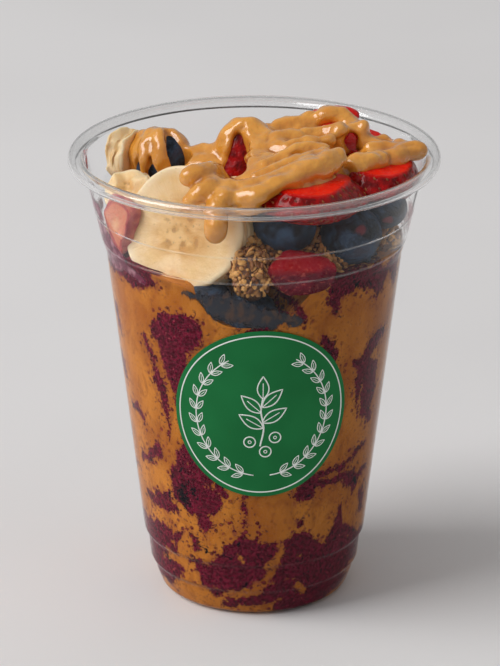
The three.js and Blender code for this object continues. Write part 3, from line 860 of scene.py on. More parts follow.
# Purple drawn through the orange-brown smoothie in tapered strokes along the wall. A stroke's points
# are azimuth in degrees, height and half width.
PURPLE_STROKES = [
    # the tall patch at the sticker's upper left, with a streak beside it
    [(-38, 81.5, 4.6), (-28, 82.5, 5)], [(-35, 80, 5), (-34, 70, 3.6), (-33, 61, 1.8)],
    [(-51, 78, 0.8), (-46, 72.5, 1.3)],
    [(-46, 71.5, 0.7), (-42.6, 64, 1.5), (-41.8, 57.5, 0.9), (-41.8, 51, 0.3)],
    # small ones at the left
    [(-69, 54.5, 0.6), (-64, 55.2, 0.8), (-58.5, 52.5, 0.8)],
    [(-51, 45.5, 1.9), (-55, 43.5, 1.6), (-61, 41.2, 1.1), (-66, 40.4, 0.6)],
    [(-66, 31, 1), (-58, 29, 1.5), (-50, 30.5, 1.9), (-42, 30, 1.6)], [(-55, 32, 1), (-46, 33, 1.4)],
    [(-35, 24.3, 0.7), (-32.5, 22, 1.2), (-31, 20.2, 0.8)],
    [(-40, 22.8, 0.9), (-46, 20.4, 1.3), (-50, 20, 1.5)], [(-45, 25.2, 0.5), (-43, 24.8, 0.4)],
    [(-76, 80, 2), (-74, 76, 1.4)], [(-78, 66, 1.4), (-75, 62, 1)],
    # under the sticker at the left
    [(-33, 49, 1.6), (-36, 42, 2.6), (-37, 36, 3), (-39, 33.5, 1.6)],
    [(-25, 43, 4), (-31, 38, 4), (-27, 33.4, 3.4), (-22.5, 34.5, 3.3), (-18, 34, 1.8)],
    [(-34, 34, 3.2), (-27, 30.5, 2.5), (-23.5, 27, 1.3), (-24.6, 24, 0.6)],
    [(-17, 39.6, 0.5), (-14, 36.8, 0.6)], [(-4.6, 36.4, 0.25), (-4, 32, 0.35), (-5.4, 27.5, 0.25)],
    [(-16, 31.4, 0.3), (-10.4, 27, 0.5)],
    # the foot at the left
    [(-66, 22, 1.4), (-56, 22, 1.5), (-50, 19, 1.5), (-46, 17, 1.4)],
    [(-80, 16.5, 5), (-66, 16, 4.6), (-58.5, 15, 3.6)], [(-56, 18.4, 2), (-50, 16.5, 1.2)],
    [(-55, 11, 1.6), (-47, 11.5, 1.5), (-43, 11.4, 0.9)],
    [(-80, 8, 4), (-62, 8, 3.4), (-50, 9, 1.6), (-45, 10, 0.7)],
    [(-78, 19, 4), (-66, 18.6, 3.8), (-58, 19, 3), (-50, 21.4, 2)],
    [(-64, 12.4, 3), (-55, 10.6, 2.2), (-48, 12.6, 1.4)],
    # the foot at the front
    [(-36, 15.6, 0.8), (-31, 15.4, 1.4), (-28, 13, 2), (-21, 12.8, 3), (-12, 14.8, 3.2),
     (-4, 16.2, 3.4)], [(-26, 11.6, 3), (-18, 10.6, 3.6), (-9, 12.2, 3.8), (-1, 14, 3.2)],
    [(-20, 14, 2.4), (-8, 17, 3), (2, 18.4, 3)],
    [(-15.5, 19, 1.6), (-11, 20.6, 2.3), (-5, 21.3, 2.6), (2, 21, 2.4), (9.5, 21, 2)],
    [(-4, 16.5, 3.4), (3, 18.8, 2.8), (9, 19.6, 2)], [(1.6, 23, 0.8), (2, 28, 0.3)],
    [(-6, 23.4, 0.7), (-5.4, 25, 0.3)], [(-23.5, 7.3, 1.2), (-17.5, 7, 1)],
    [(-16.5, 3.8, 1.6), (-6, 5.3, 2.3), (4, 7, 2.9), (14, 8, 3), (22, 7, 2.8)],
    [(16, 3, 2), (34, 4, 3.4), (50, 5.8, 3.6), (60, 5.5, 2.4), (67, 5, 1)],
    [(14, 8.6, 2.6), (34, 8.6, 2.6), (46, 8, 2.6)],
    # the foot at the right, with its peak
    [(17.5, 20.5, 3), (23, 22.4, 3.3), (29, 20, 3), (36, 18, 3), (46, 16.6, 3.4), (58, 15.4, 4),
     (74, 14, 4)],
    [(12.5, 12.8, 2.6), (20, 14.6, 4), (30, 13.6, 4.4), (45, 12.6, 4.4), (62, 12, 4), (74, 12, 3)],
    [(46, 20, 3), (46.4, 26, 1.3), (47, 30, 0.4)], [(52, 21.4, 2), (60, 19.4, 1.5)],
    # beside the sticker at the right
    [(46, 71, 1), (53, 69, 3), (58, 66, 3.6), (60, 60, 4.2), (57, 56, 2.6), (61, 53, 1.5)],
    [(50, 65, 1.6), (51, 58, 1)], [(56, 72, 2.5), (61, 75.4, 2.2), (66.5, 76, 1.2)],
    [(28, 80, 1.4), (31, 77.5, 1.8), (34.5, 73.4, 1.2)],
    # under the sticker at the right
    [(24, 43.5, 2), (27, 39.6, 2.3), (23, 36.4, 1.8)],
    [(27, 36.6, 1.6), (28.5, 40, 1.7), (33, 39, 1), (38, 38.7, 0.8)],
    [(34, 41, 0.7), (42, 41.4, 1), (50, 42.6, 1.2), (56, 44, 1.2), (62, 45.6, 0.7)],
    [(38, 38.7, 0.8), (44, 38.8, 1), (50, 38, 1.7), (54, 36.6, 2.4), (56, 33.8, 1.4)],
    [(57, 36.6, 1.6), (66, 37.4, 1)], [(66, 30, 1.6), (68, 25.6, 1.4)],
    [(23, 29, 0.6), (23.6, 28.6, 0.6)],
    # along the top
    [(-74, 96, 2.4), (-63, 97.5, 3.4), (-54, 96.4, 3.5), (-47, 95.4, 2.8), (-43, 94.4, 1.3)],
    [(-58, 99, 3), (-68, 101, 3)], [(-55, 93, 1.6), (-52, 92.6, 1)],
    [(31, 94, 1), (34, 93.4, 1.8), (38, 93.6, 2.2), (44, 94.6, 2), (50, 93.4, 1.5), (56, 91.2, 1.1),
     (60, 90, 0.7)], [(38, 96, 1), (44, 96.4, 1.2), (50, 97.4, 1.5), (55, 98, 1)],
    [(31.4, 91, 1.1), (34, 87.6, 0.6)], [(-78, 98, 5), (-66, 97, 5.4), (-56, 96.4, 5), (-48, 96, 3.4)],
    [(-60, 100, 4), (-48, 99, 3), (-43, 97.6, 1.6)],
    [(32, 95, 2), (38, 95.4, 3.2), (46, 95.6, 3.2), (54, 94.6, 3), (60, 93, 1.8)],
    [(33, 92, 1.6), (34, 88.4, 0.8)], [(55, 92, 1.6), (56.4, 88.4, 0.8)],
    [(-2, 84, 0.9), (4, 85.4, 1), (12, 88.6, 1.2)], [(62, 95, 1.5), (70, 95, 3), (72, 90, 1.8)],
    [(12, 94, 1.2), (15, 91.5, 1.4), (18, 89.4, 0.8), (20, 86.8, 0.5)],
]
ORANGE_STROKES = [
    [(13.8, 23.6, 0.4), (13, 18, 1), (8.6, 13, 1.2), (3, 9, 1.3), (-6, 7, 1.3), (-16, 5.4, 1.2)],
    [(-57, 12.6, 0.8), (-52, 14.4, 1.2), (-48.5, 14, 0.8)], [(25.5, 8.4, 1.2), (28.5, 6.8, 1.2)],
    [(64, 9.6, 0.5), (72, 8.4, 0.7)], [(-6.5, 17.6, 0.3), (-7.6, 19.4, 0.2)],
]
PEEL_STROKES = [
    [(-35.5, 38.4, 0.4), (-36.6, 35, 1.9), (-35, 32.6, 1.2)], [(-30.6, 36.4, 0.6), (-29.4, 34.8, 0.5)],
    [(-28, 21, 0.2), (-25, 19.6, 0.4)],
]
BACK_STROKES = 44
FOOT_STROKES = 16


def stroke_depth(points, strokes):
    """How far inside the nearest stroke a point on the wall lies, in millimetres."""
    azimuth, z = azimuth_of(points), points[..., 2]
    radius = radius_on(WALL_SURFACE, z)
    best = np.full(z.shape, -9.0)
    for stroke in strokes:
        for (a, height, wide), (to_a, to_height, to_wide) in zip(stroke, stroke[1:]):
            across = ((azimuth - math.radians(a) + math.pi) % TURN - math.pi) * radius
            up = z - height
            step_across = math.radians(to_a - a) * radius_on(WALL_SURFACE, height)
            step = np.array([step_across, to_height - height])
            share = np.clip((across * step[0] + up * step[1]) / (step @ step), 0, 1)
            gap = np.hypot(across - share * step[0], up - share * step[1])
            best = np.maximum(best, wide + share * (to_wide - wide) - gap)
    return best


def back_strokes():
    """Strokes for the side that isn't laid out one by one, of the same kinds."""
    random = np.random.default_rng(8)
    strokes = []
    for number in range(BACK_STROKES + FOOT_STROKES):
        a, z, wide = random.uniform(84, 276), random.uniform(20, 94), 0.8 + 5.2 * random.random() ** 2
        if number >= BACK_STROKES:
            z, wide = 4 + 0.16 * z, 2.4 + 0.5 * wide
        lean_a, lean_z = random.uniform(-11, 11), random.uniform(-8, 8)
        stroke = [(a, z, wide)]
        for _ in range(3):
            a, z = a + lean_a * random.uniform(0.3, 1.2), z + lean_z * random.uniform(0.3, 1.2)
            wide *= random.uniform(0.4, 1.2)
            stroke.append((a, z, wide))
        strokes.append(stroke)
    return strokes


def swirl_at(points):
    """How far inside the purple a point on the wall lies; strokes are bent a little by noise."""
    warp = np.stack([rough(points, 5, 1), rough(points, 5, 3), rough(points, 5, 2)], -1)
    warp = 0.7 * warp + 0.4 * np.stack([rough(points, 2, k) for k in (4, 5, 6)], -1)
    warped = points + warp
    purple = stroke_depth(warped, PURPLE_STROKES + back_strokes())
    return np.minimum(purple, -stroke_depth(warped, ORANGE_STROKES))


def fill_level(azimuth):
    """The height of the smoothie at the wall."""
    front = np.exp(-(((azimuth + 0.02) / 0.36) ** 4))
    left = np.exp(-(((azimuth + 1.15) / 0.5) ** 2))
    right = np.exp(-(((azimuth - 1.05) / 0.45) ** 2))
    return 95.4 - 10.6 * front + 5 * left + 4.2 * right + 0.8 * np.sin(3 * azimuth + 1)


ACAI_SIDES = 420
ACAI_STEP = 0.6  # between the rings below the straight fill
RISE_RINGS = 24  # from there up to the level at the wall
TOP_RINGS = 16
TOP_MIDDLE = 95  # the height of the smoothie under the heap


def acai():
    angle = round_angles(ACAI_SIDES)
    azimuth = np.arctan2(np.cos(angle), -np.sin(angle))
    low = spaced(FOOD_SURFACE, ACAI_STEP)
    low = low[low[:, 1] < STRAIGHT_FILL - ACAI_STEP / 2]
    rings = [turned(low, ACAI_SIDES)]
    level = fill_level(azimuth)
    side_heights = STRAIGHT_FILL + (level - STRAIGHT_FILL) * np.linspace(0, 1, RISE_RINGS)[:, None]
    rings.append(at_azimuth(azimuth, radius_on(FOOD_SURFACE, side_heights), side_heights))
    rim = radius_on(FOOD_SURFACE, level)
    share = np.linspace(0.985, 0.02, TOP_RINGS)[:, None]
    height = TOP_MIDDLE + (level - 0.2 - TOP_MIDDLE) * np.clip((share - 0.58) / 0.3, 0, 1)
    top = at_azimuth(azimuth, rim * share, height)
    top[..., 2] += 0.35 * rough(top, 3, 5) * np.minimum(1, (1 - share) * 12)
    rings.append(top)
    rings = np.concatenate(rings)[1:]
    points, faces = capped_rings(rings)
    marks = {"swirl": swirl_at(points), "peel": stroke_depth(points, PEEL_STROKES)}
    return make_mesh("acai_fill", points, faces, marks, SWIRLED_ACAI)


settled(acai(), "acai", "acai")

# ---------------------------------------------------------------- fruit


def flat_shares(count):
    """How far out the rings of a cut face lie."""
    return np.linspace(0.03, 1, count)


def finish_fruit(name, rings, depth, skin, at, face, along, material, stain_and_shade=None, press=0.0):
    """Stands a fruit of rings in its place and presses it against the wall."""
    local, faces = capped_rings(rings)
    points = kept_inside(stood(local, at, face, along), press)
    attributes = {"place": local * MM, "depth": capped(depth), "skin": capped(skin)}
    attributes["stain_and_shade"] = stain_and_shade(points, local) if stain_and_shade else np.zeros(len(points))
    return make_mesh(name, points, faces, attributes, material)


def stain_and_shade_blobs(*spots):
    """Soft round marks at given places in the cup, each with a radius."""

    def stain_and_shade(points, _):
        total = np.zeros(len(points))
        for x, y, z, radius in spots:
            distance = np.linalg.norm(points - np.array([x, y, z]), axis=1)
            edge = distance / radius + 0.35 * rough(points, radius, 6)
            total = np.maximum(total, np.clip((1.15 - edge) / 0.3, 0, 1))
        return total

    return stain_and_shade


BERRY_SIDES = 72
BERRY_ROWS = 44


def blueberry(name, radius, at, face, stain_and_shade=None, press=0.0):
    """A ball with a crown of five points on the side that looks along face."""
    angle = round_angles(BERRY_SIDES)
    star = np.cos(5 * angle)
    polar = np.radians(np.linspace(3, 152, BERRY_ROWS))[:, None]
    ball_r = radius * np.sin(polar) + 0 * angle
    ball_z = -0.92 * radius * np.cos(polar) + 0 * angle
    # rings of the crown: radius and height, each with how much the star adds to it
    crown = [
        (0.43, 0.02, 0.862, 0.01), (0.4, 0.05, 0.92, 0.03), (0.36, 0.05, 0.93, 0.035),
        (0.31, 0.02, 0.87, 0.01), (0.24, 0, 0.8, 0), (0.12, 0, 0.77, 0), (0.03, 0, 0.78, 0),
    ]
    crown_r = radius * np.array([a + b * star for a, b, _, _ in crown])
    crown_z = radius * np.array([c + d * star for _, _, c, d in crown])
    r, z = np.concatenate([ball_r, crown_r]), np.concatenate([ball_z, crown_z])
    rings = ring_points(r, angle, z)
    seed = radius + at[0]
    uneven = 0.02 * rough(rings + seed, 5, 7) + 0.006 * rough(rings + seed, 1.4, 8)
    rings = rings * (1 + uneven)[..., None]
    depth = np.zeros(r.shape)
    depth[len(ball_r) + 3 :] = 1
    depth[len(ball_r) + 2] = 0.5
    skin = np.ones(r.shape)
    return finish_fruit(name, rings, depth, skin, at, face, (1, 0, 0.01), BLUEBERRY_SKIN, stain_and_shade, press)


def set_out(make, slot, rows):
    """Makes a piece of fruit for every row, which starts with the name of the solid it replaces."""
    for name, *shape in rows:
        settled(make(name + "_fruit", *shape), slot, name)


LOW_PRESS = -0.4  # the low berries keep this far from the wall, behind the juice
# name, radius, place, the way of the crown, stain, press
BERRIES = [
    ("blueberry_coated", 7.6, (-24.2, 11.5, 113.8), (-0.5, -0.3, 0.8), None),
    ("blueberry_right", 8, (24.2, -21, 104.6), (0.5, -0.1, -0.9),
     stain_and_shade_blobs((26.5, -27.6, 108.2, 1.2))),
    ("blueberry_centre", 8.1, (7.6, -25, 109.2), (-0.4, 0.2, -0.9), None),
    ("blueberry_far_right", 6, (32.6, -13.6, 109.6), (0.2, 0.5, 0.8),
     stain_and_shade_blobs((33.5, -18.5, 108, 1.2))),
    ("blueberry_tucked", 6.2, (27, -3.4, 99.8), (0.3, 0.3, -0.9), None),
    ("blueberry_low_left", 7, (-12, -28.4, 88.8), (-0.6, 0.5, -0.6), None, LOW_PRESS),
    ("blueberry_low_middle", 6.5, (-0.8, -31.2, 87.2), (0.1, 0.6, -0.8), None, LOW_PRESS),
    ("blueberry_back_left", 7.4, (-15.5, 27.8, 99.5), (-0.3, 0.2, 0.9), None),
    ("blueberry_back_right", 7.8, (14, 27.6, 103.2), (0.3, 0.6, 0.7), None),
]
set_out(blueberry, "blueberry", BERRIES)

BANANA_SIDES = 120
CUT_ROWS, EDGE_ROWS, SIDE_ROWS = 20, 4, 17
CUT_EDGE = 0.9  # the rounding of its edge
RIB_GAP = 1.7  # between the faint ribs of its side


def banana(name, radius, thickness, slant, at, face, along, ragged=0.0, stain_and_shade=None):
    """A slice with a slanted cut; slant is how far its top lies aside, and ragged how torn it is."""
    half, edge = thickness / 2, CUT_EDGE
    angle = round_angles(BANANA_SIDES)
    rim = 1 - edge / radius
    arc = np.linspace(0, math.pi / 2, EDGE_ROWS + 1)[1:]
    line = [(s * rim, -half) for s in flat_shares(CUT_ROWS)]
    line += [(rim + (1 - rim) * math.sin(a), -half + edge * (1 - math.cos(a))) for a in arc]
    side_z = np.linspace(-half + edge, half - edge, SIDE_ROWS + 1)[1:]
    line += [(1 - 0.014 * (1 - math.cos(TURN * (z - half + edge) / RIB_GAP)), z) for z in side_z]
    line += [(rim + (1 - rim) * math.cos(a), half - edge * (1 - math.sin(a))) for a in arc]
    line += [(s * rim, half) for s in flat_shares(CUT_ROWS)[-2::-1]]
    share, z = np.array(line).T
    cut_rows = CUT_ROWS + EDGE_ROWS // 2
    side_rows = slice(cut_rows, len(line) - cut_rows)
    lobes = 1 + 0.022 * np.cos(3 * angle + 0.6) + 0.012 * np.sin(2 * angle)
    lean = (half - z) / thickness
    r = radius * share[:, None] * lobes
    rings = ring_points(r, angle, z[:, None] + 0 * angle)
    rings[..., :2] += lean[:, None, None] * slant
    seed = at[0]
    swell = 0.22 * rough(rings + seed, 5, 9) + 0.07 * rough(rings + seed, 1.5, 10)
    rings[..., 2] += swell * np.sign(z)[:, None] * (np.abs(z) > half * 0.6)[:, None]
    grow = 1 + (0.012 + 0.05 * ragged) * rough(rings * [1, 1, 0.6] + seed, 4, 11)
    rings[..., :2] *= grow[..., None]
    if ragged:
        bite = ragged * np.clip(rough(rings + seed, 3.4, 12) - 0.1, 0, 1)
        rings -= rings * bite[..., None] * 0.35
        rings[..., 2] += ragged * 0.9 * rough(rings + seed, 2.6, 13) * np.sign(z)[:, None]
    skin = np.zeros(r.shape)
    skin[side_rows] = 1
    depth = share[:, None] + 0 * angle
    return finish_fruit(name, rings, depth, skin, at, face, along, BANANA_FLESH, stain_and_shade, 0.06)


# name, radius, thickness, slant, place, face, along, how ragged, and blobs of painted shade
BANANAS = [
    ("banana_front", 15.8, 6.4, (0.9, -0.9), (-16.8, -23, 107), (-0.37, -0.88, 0.25), (0.9, -0.44, 0)),
    ("banana_left", 6.2, 5.2, (1, 0.6), (-31.8, -12.2, 112.8), (-0.34, -0.5, 0.8), (1, 0.2, 0), 1.5),
    # banana_back's blobs are painted shade: a deeper yellow on its right side, beside the peanut butter
    ("banana_back", 7.4, 5, (-0.6, 0.8), (-32.4, 14, 113.6), (0.82, -0.56, 0.1), (0.5, 0.8, 0), 0.9,
     stain_and_shade_blobs((-29, 11, 112.6, 4), (-29, 12, 116.6, 2.6))),
    ("banana_middle", 12, 5, (0, 0), (-15, -3.4, 108.4), (-0.24, -0.1, 0.96), (1, 0.2, 0)),
]
set_out(banana, "banana", BANANAS)

DIMPLE_DEPTH, DIMPLE_RADIUS = 0.38, 1.15
SEED_SUNK = 0.3
seed_spots = []  # places of strawberry seeds, with the way each one looks


def seated(obj, spacing, seed):
    """Dimples in a strawberry's skin, each with a seed's place; none without a spacing."""
    if not spacing:
        return obj
    mesh = obj.data
    points, ways = values_of(mesh.vertices, "co", 3) / MM, values_of(mesh.vertices, "normal", 3)
    skin = values_of(mesh.attributes["skin"].data, "value", 1)[:, 0]
    wall = radius_on(FOOD_SURFACE, points[:, 2]) - np.hypot(points[:, 0], points[:, 1])
    random = np.random.default_rng(int(10 * abs(seed)))
    chosen = []
    for i in random.permutation(np.flatnonzero((skin > 0.99) & (wall > 0.3))):
        if all(np.sum((points[i] - points[j]) ** 2) > spacing**2 for j in chosen):
            chosen.append(i)
    dent = np.zeros_like(points)
    for i in chosen:
        distance = np.linalg.norm(points - points[i], axis=1)
        deep = DIMPLE_DEPTH * np.clip(1 - (distance / DIMPLE_RADIUS) ** 2, 0, 1) ** 1.5
        dent -= deep[:, None] * ways[i]
        seed_spots.append((points[i] - SEED_SUNK * ways[i], ways[i]))
    mesh.vertices.foreach_set("co", ((points + dent) * MM).ravel())
    mesh.update()
    return obj


SLICE_SIDES = 132
SLICE_EDGE = [(0.84, -0.96), (1.0, -0.4), (0.96, 0.3), (0.8, 0.96)]  # share of radius and of half height
UNDER_SHARE, TOP_SHARE = 0.83, 0.79  # how far out its two cut faces reach


def strawberry_slice(
    name, length, width, thickness, at, face, along, tail=0.0, material=STRAWBERRY_FLESH, seeds=2.3, torn=0
):
    """A slice that narrows to one end; tail is how much more the upper face narrows there."""
    half = thickness / 2
    angle = round_angles(SLICE_SIDES)
    edge = curve_through(SLICE_EDGE, 5)
    under = [(s * UNDER_SHARE, -1 + 0.03 * s) for s in flat_shares(12)]
    top = [(s * TOP_SHARE, 1 - 0.03 * s) for s in flat_shares(22)[::-1]]
    share, rise = np.array([*under, *edge, *top]).T
    skin = np.zeros(len(share))
    skin[len(under) + 1 : len(under) + len(edge) - 1] = 1
    share, rise = share[:, None], rise[:, None]
    tail_side = np.clip(np.cos(angle + 0.7), 0, 1) ** 2
    kept = 1 - tail * tail_side * np.clip((rise + 0.4) / 1.4, 0, 1)
    x = length / 2 * share * kept * np.cos(angle)
    y = width / 2 * share * kept * np.sin(angle) * (1 - 0.34 * share * np.cos(angle))
    rings = np.stack([x, y, rise * half + 0 * angle], -1)
    seed = at[0] + at[1]
    grow = 1 + (0.028 + 0.14 * torn) * rough(rings * [1, 1, 0.5] + seed, 5 - 2.4 * torn, 14)
    rings[..., :2] *= grow[..., None]
    cut = (1 - skin)[:, None] * np.sign(rise)
    rings[..., 2] += cut * (0.16 * rough(rings + seed, 3, 15) + 0.07 * rough(rings + seed, 0.9, 16))
    rings += 0.1 * (skin[:, None] * rough(rings + seed, 1.3, 17))[..., None] * unit((1, 1, 0))
    depth = np.minimum(share / TOP_SHARE, 1) + 0 * angle
    skin = skin[:, None] + 0 * angle
    return seated(finish_fruit(name, rings, depth, skin, at, face, along, material), seeds, seed)


# rows along a wedge, from its inner edge to the skin, and round the skin
WEDGE_ROWS, INTO_ROWS, SKIN_ROWS = 44, 12, 30


def strawberry_wedge(name, length, width, opening, at, face, along, core, blunt, nose, seeds, stain_and_shade=None):
    """A lengthwise wedge; core is how red its inner edge already is, and nose how pointed one end is."""
    stations = np.linspace(0.06, math.pi - 0.06, WEDGE_ROWS)
    into = np.linspace(0, 1, INTO_ROWS + 1)
    arc = np.linspace(-opening / 2, opening / 2, SKIN_ROWS)
    reach = np.concatenate([into[:-1], np.ones(SKIN_ROWS), into[:0:-1]])
    cut_face = np.full(INTO_ROWS, opening / 2)
    turn = np.concatenate([-cut_face, arc, cut_face]) + math.pi / 2
    skin = np.zeros(len(reach))
    skin[INTO_ROWS + 1 : -INTO_ROWS - 1] = 1
    radius = (width / 2) * np.sin(stations) ** blunt * (1 + 0.3 * blunt * np.cos(stations))
    r = radius[:, None] * reach
    x = -(length / 2) * np.cos(stations)[:, None] + 0 * reach
    x += nose * np.abs(r * np.cos(turn)) * np.clip(np.cos(stations), 0, 1)[:, None]
    rings = np.stack([x, r * np.cos(turn), r * np.sin(turn)], -1)
    seed = at[0] + at[1]
    rings *= 1 + 0.03 * rough(rings + seed, 4, 18)[..., None]
    rings += 0.14 * rough(rings + seed, 1.6, 19)[..., None] * unit((0.3, 1, 0.6))
    depth = core + (1 - core) * reach + 0 * stations[:, None]
    skin = skin + 0 * stations[:, None]
    piece = finish_fruit(name, rings, depth, skin, at, face, along, STRAWBERRY_FLESH, stain_and_shade, 0.08)
    return seated(piece, seeds, seed)


CHUNK_HEIGHT = 100.6


def smoothie_side(points, _):
    """The chunk is stained by the smoothie, most of all on its lower face."""
    return 0.72 + 0.28 * np.clip(CHUNK_HEIGHT - points[:, 2] + 0.8 * rough(points, 3, 20), 0, 1)


# name, length, width, thickness, place, face, along, tail, material, seed spacing, how torn
SLICES = [
    ("strawberry_front", 30, 22, 7.4, (15.6, -25.2, 116.1), (0.06, 0.0, 1.0), (0.86, 0.5, 0.1), 0.34),
    ("strawberry_right", 27, 20, 7.6, (32.4, -6.5, 115.6), (0.1, -0.05, 1), (0.62, 0.78, 0.02), 0.12),
    ("strawberry_edge", 24, 20, 6.6, (28.9, 12.2, 114.8), (0.12, -0.24, 0.95), (-0.6, 0.8, 0)),
    ("strawberry_tip", 25, 15, 6.4, (16, 12.4, 120.2), (-0.42, -0.4, 0.8), (0.8, 0.1, 0.55), 0.3,
     BARE_STRAWBERRY, None),
    ("strawberry_back", 24, 17, 6, (-1.4, 22.6, 107.4), (0.05, 0.45, 0.9), (1, -0.2, 0)),
    ("strawberry_left", 15.4, 9.6, 4.2, (-33.4, -19.4, 107.2), (-0.66, -0.74, 0.1), (0.16, 0.2, -1),
     0.0, PALE_STRAWBERRY, None, 1),
]
set_out(strawberry_slice, "strawberry", SLICES)
# name, length, width, opening, place, face, along, core, blunt, nose, seed spacing, stain
WEDGES = [
    ("strawberry_chunk", 17.6, 13.6, 2.1, (12.2, -36.6, CHUNK_HEIGHT), (-0.27, 0.82, -0.5),
     (0.9, 0.36, -0.24), 0.62, 0.44, 0.6, 2.1, smoothie_side),
    ("strawberry_upright", 24, 13.4, 2.4, (-3.8, 5.4, 113.6), (0.02, -1, 0.1), (0.03, 0.1, 1),
     0.0, 1.0, 0.0, None),
]
set_out(strawberry_wedge, "strawberry", WEDGES)

# ---------------------------------------------------------------- soft solids on a grid

CORNERS = np.array(list(np.ndindex(2, 2, 2)))
EDGES = [(a, b) for a in range(8) for b in range(a, 8) if np.abs(CORNERS[a] - CORNERS[b]).sum() == 1]


class Dough:
    """A soft solid, kept as distances to its surface on a grid: less than 0 is inside."""

    def __init__(self, low, high, step):
        self.low, self.step = np.array(low, float), step
        self.shape = tuple(int((h - l) / step) + 1 for l, h in zip(low, high))
        self.field = np.full(self.shape, 9.0, np.float32)

    def window(self, low, high):
        """The part of the grid between two corners, and the places of its points."""
        first = np.clip(((np.array(low) - self.low) / self.step).astype(int), 0, np.array(self.shape) - 1)
        last = np.clip(((np.array(high) - self.low) / self.step).astype(int) + 2, 1, self.shape)
        part = tuple(slice(a, b) for a, b in zip(first, last))
        axes = [self.low[i] + self.step * np.arange(first[i], last[i]) for i in range(3)]
        return part, np.stack(np.meshgrid(*axes, indexing="ij"), -1)

    @staticmethod
    def blended(a, b, blend):
        """The smaller of two distances, with a soft fillet where they meet."""
        if blend <= 0:
            return np.minimum(a, b)
        share = np.clip(0.5 + 0.5 * (b - a) / blend, 0, 1)
        return b + (a - b) * share - blend * share * (1 - share)

    def work(self, distance_in, low, high, blend, cut=False):
        """Adds a body that lies between two corners, or cuts it away."""
        reach = 2.5 + blend
        part, places = self.window(np.array(low) - reach, np.array(high) + reach)
        side = -1 if cut else 1
        self.field[part] = side * self.blended(side * self.field[part], distance_in(places), blend)

    def rope(self, points, blend, cut=False):
        """A rope through points of x, y, z and radius."""
        line = curve_through(points, 6)
        low, high = line[:, :3].min(0) - line[:, 3].max(), line[:, :3].max(0) + line[:, 3].max()

        def distance(places):
            best = None
            for a, b in zip(line, line[1:]):
                way = b[:3] - a[:3]
                share = np.clip(((places - a[:3]) @ way) / max(way @ way, 1e-9), 0, 1)
                gap = np.linalg.norm(places - a[:3] - share[..., None] * way, axis=-1)
                gap = gap - (a[3] + share * (b[3] - a[3]))
                best = gap if best is None else np.minimum(best, gap)
            return best

        self.work(distance, low, high, blend, cut)

    def lump(self, centre, axes, lean=0.0, blend=1.2, cut=False):
        """A flattened ball, turned about the vertical by lean."""
        centre, axes = np.array(centre, float), np.array(axes, float)
        c, s = math.cos(lean), math.sin(lean)
        turn = np.array([[c, -s, 0], [s, c, 0], [0, 0, 1]])
        reach = np.array([axes[:2].max(), axes[:2].max(), axes[2]])

        def distance(places):
            local = (places - centre) @ turn
            near = np.linalg.norm(local / axes, axis=-1)
            steep = np.linalg.norm(local / axes**2, axis=-1)
            return near * (near - 1) / np.maximum(steep, 1e-6)

        self.work(distance, centre - reach, centre + reach, blend, cut)

    def skin(self):
        """Points and quads of the surface (surface nets)."""
        field = np.where(np.abs(self.field) < 1e-4, 1e-4, self.field)
        inside = field < 0
        size = np.array(field.shape) - 1
        parts = [tuple(slice(c, c + n) for c, n in zip(corner, size)) for corner in CORNERS]
        count = sum(inside[part].astype(np.int8) for part in parts)
        cells = np.argwhere((count > 0) & (count < 8))
        number = np.full(size, -1)
        number[tuple(cells.T)] = np.arange(len(cells))
        values = np.stack([field[tuple((cells + corner).T)] for corner in CORNERS], 1)
        total, hits = np.zeros((len(cells), 3)), np.zeros(len(cells))
        for a, b in EDGES:
            crossed = (values[:, a] < 0) != (values[:, b] < 0)
            share = np.where(crossed, values[:, a] / np.where(crossed, values[:, a] - values[:, b], 1), 0)
            total += crossed[:, None] * (CORNERS[a] + share[:, None] * (CORNERS[b] - CORNERS[a]))
            hits += crossed
        points = self.low + (cells + total / hits[:, None]) * self.step
        faces = []
        for axis in range(3):
            u, v = np.eye(3, dtype=int)[(axis + 1) % 3], np.eye(3, dtype=int)[(axis + 2) % 3]
            first = np.take(inside, range(inside.shape[axis] - 1), axis)
            second = np.take(inside, range(1, inside.shape[axis]), axis)
            edges = np.argwhere(first != second)
            edges = edges[((edges > 0) | (np.arange(3) == axis)).all(1)]
            edges = edges[(edges < size).all(1)]
            quads = np.stack([number[tuple((edges - k).T)] for k in (0 * u, u, u + v, v)], 1)
            flip = ~first[tuple(edges.T)]
            quads[flip] = quads[flip, ::-1]
            faces.append(quads)
        return points, np.concatenate(faces).tolist()


# ---------------------------------------------------------------- peanut butter

COATED_AT = np.array((-24.2, 11.5, 114.1))
# Ropes of peanut butter, each through points of x, y, z and radius.
COAT_ROPES = [
    [(-29.3, 13.2, 119.8, 1.6), (-31, 12.5, 117.8, 1.5), (-31.9, 11.6, 115.2, 1.5),
     (-31.8, 10.7, 112, 1.5)],
    [(-26.9, 9.5, 121.1, 1.8), (-27.9, 6.5, 118.9, 1.7), (-28.4, 5.1, 115.8, 1.5),
     (-28.3, 4.4, 111.6, 1.6)],
    [(-24.3, 8.4, 121.2, 2.4), (-24, 5.4, 118.5, 2.6), (-24, 4.2, 114.9, 2.6),
     (-24.3, 4.4, 111.6, 2.2)],
    [(-21.7, 5, 116.5, 2), (-21.2, 4.6, 114.4, 2.2), (-21.7, 4.6, 112, 1.8)],
]
COAT_GAPS = [
    [(-30.2, 5.6, 110.4, 1.9), (-30.3, 5.6, 113.4, 1.5), (-29.8, 6, 116.2, 0.7)],
    [(-26.4, 3.2, 109.6, 1.9), (-26.5, 3.2, 113.4, 1.5), (-26.8, 4.2, 116.6, 0.7)],
    [(-22.9, 2.8, 109, 1.6), (-23.2, 2.8, 111.8, 0.8)],
]
COAT_SLIT = [
    (-22, 9.6, 122.2, 1.6), (-20.6, 6.3, 120.4, 2.8), (-19.4, 4.6, 117.4, 3.1), (-18.2, 4.4, 113.4, 2.9),
]
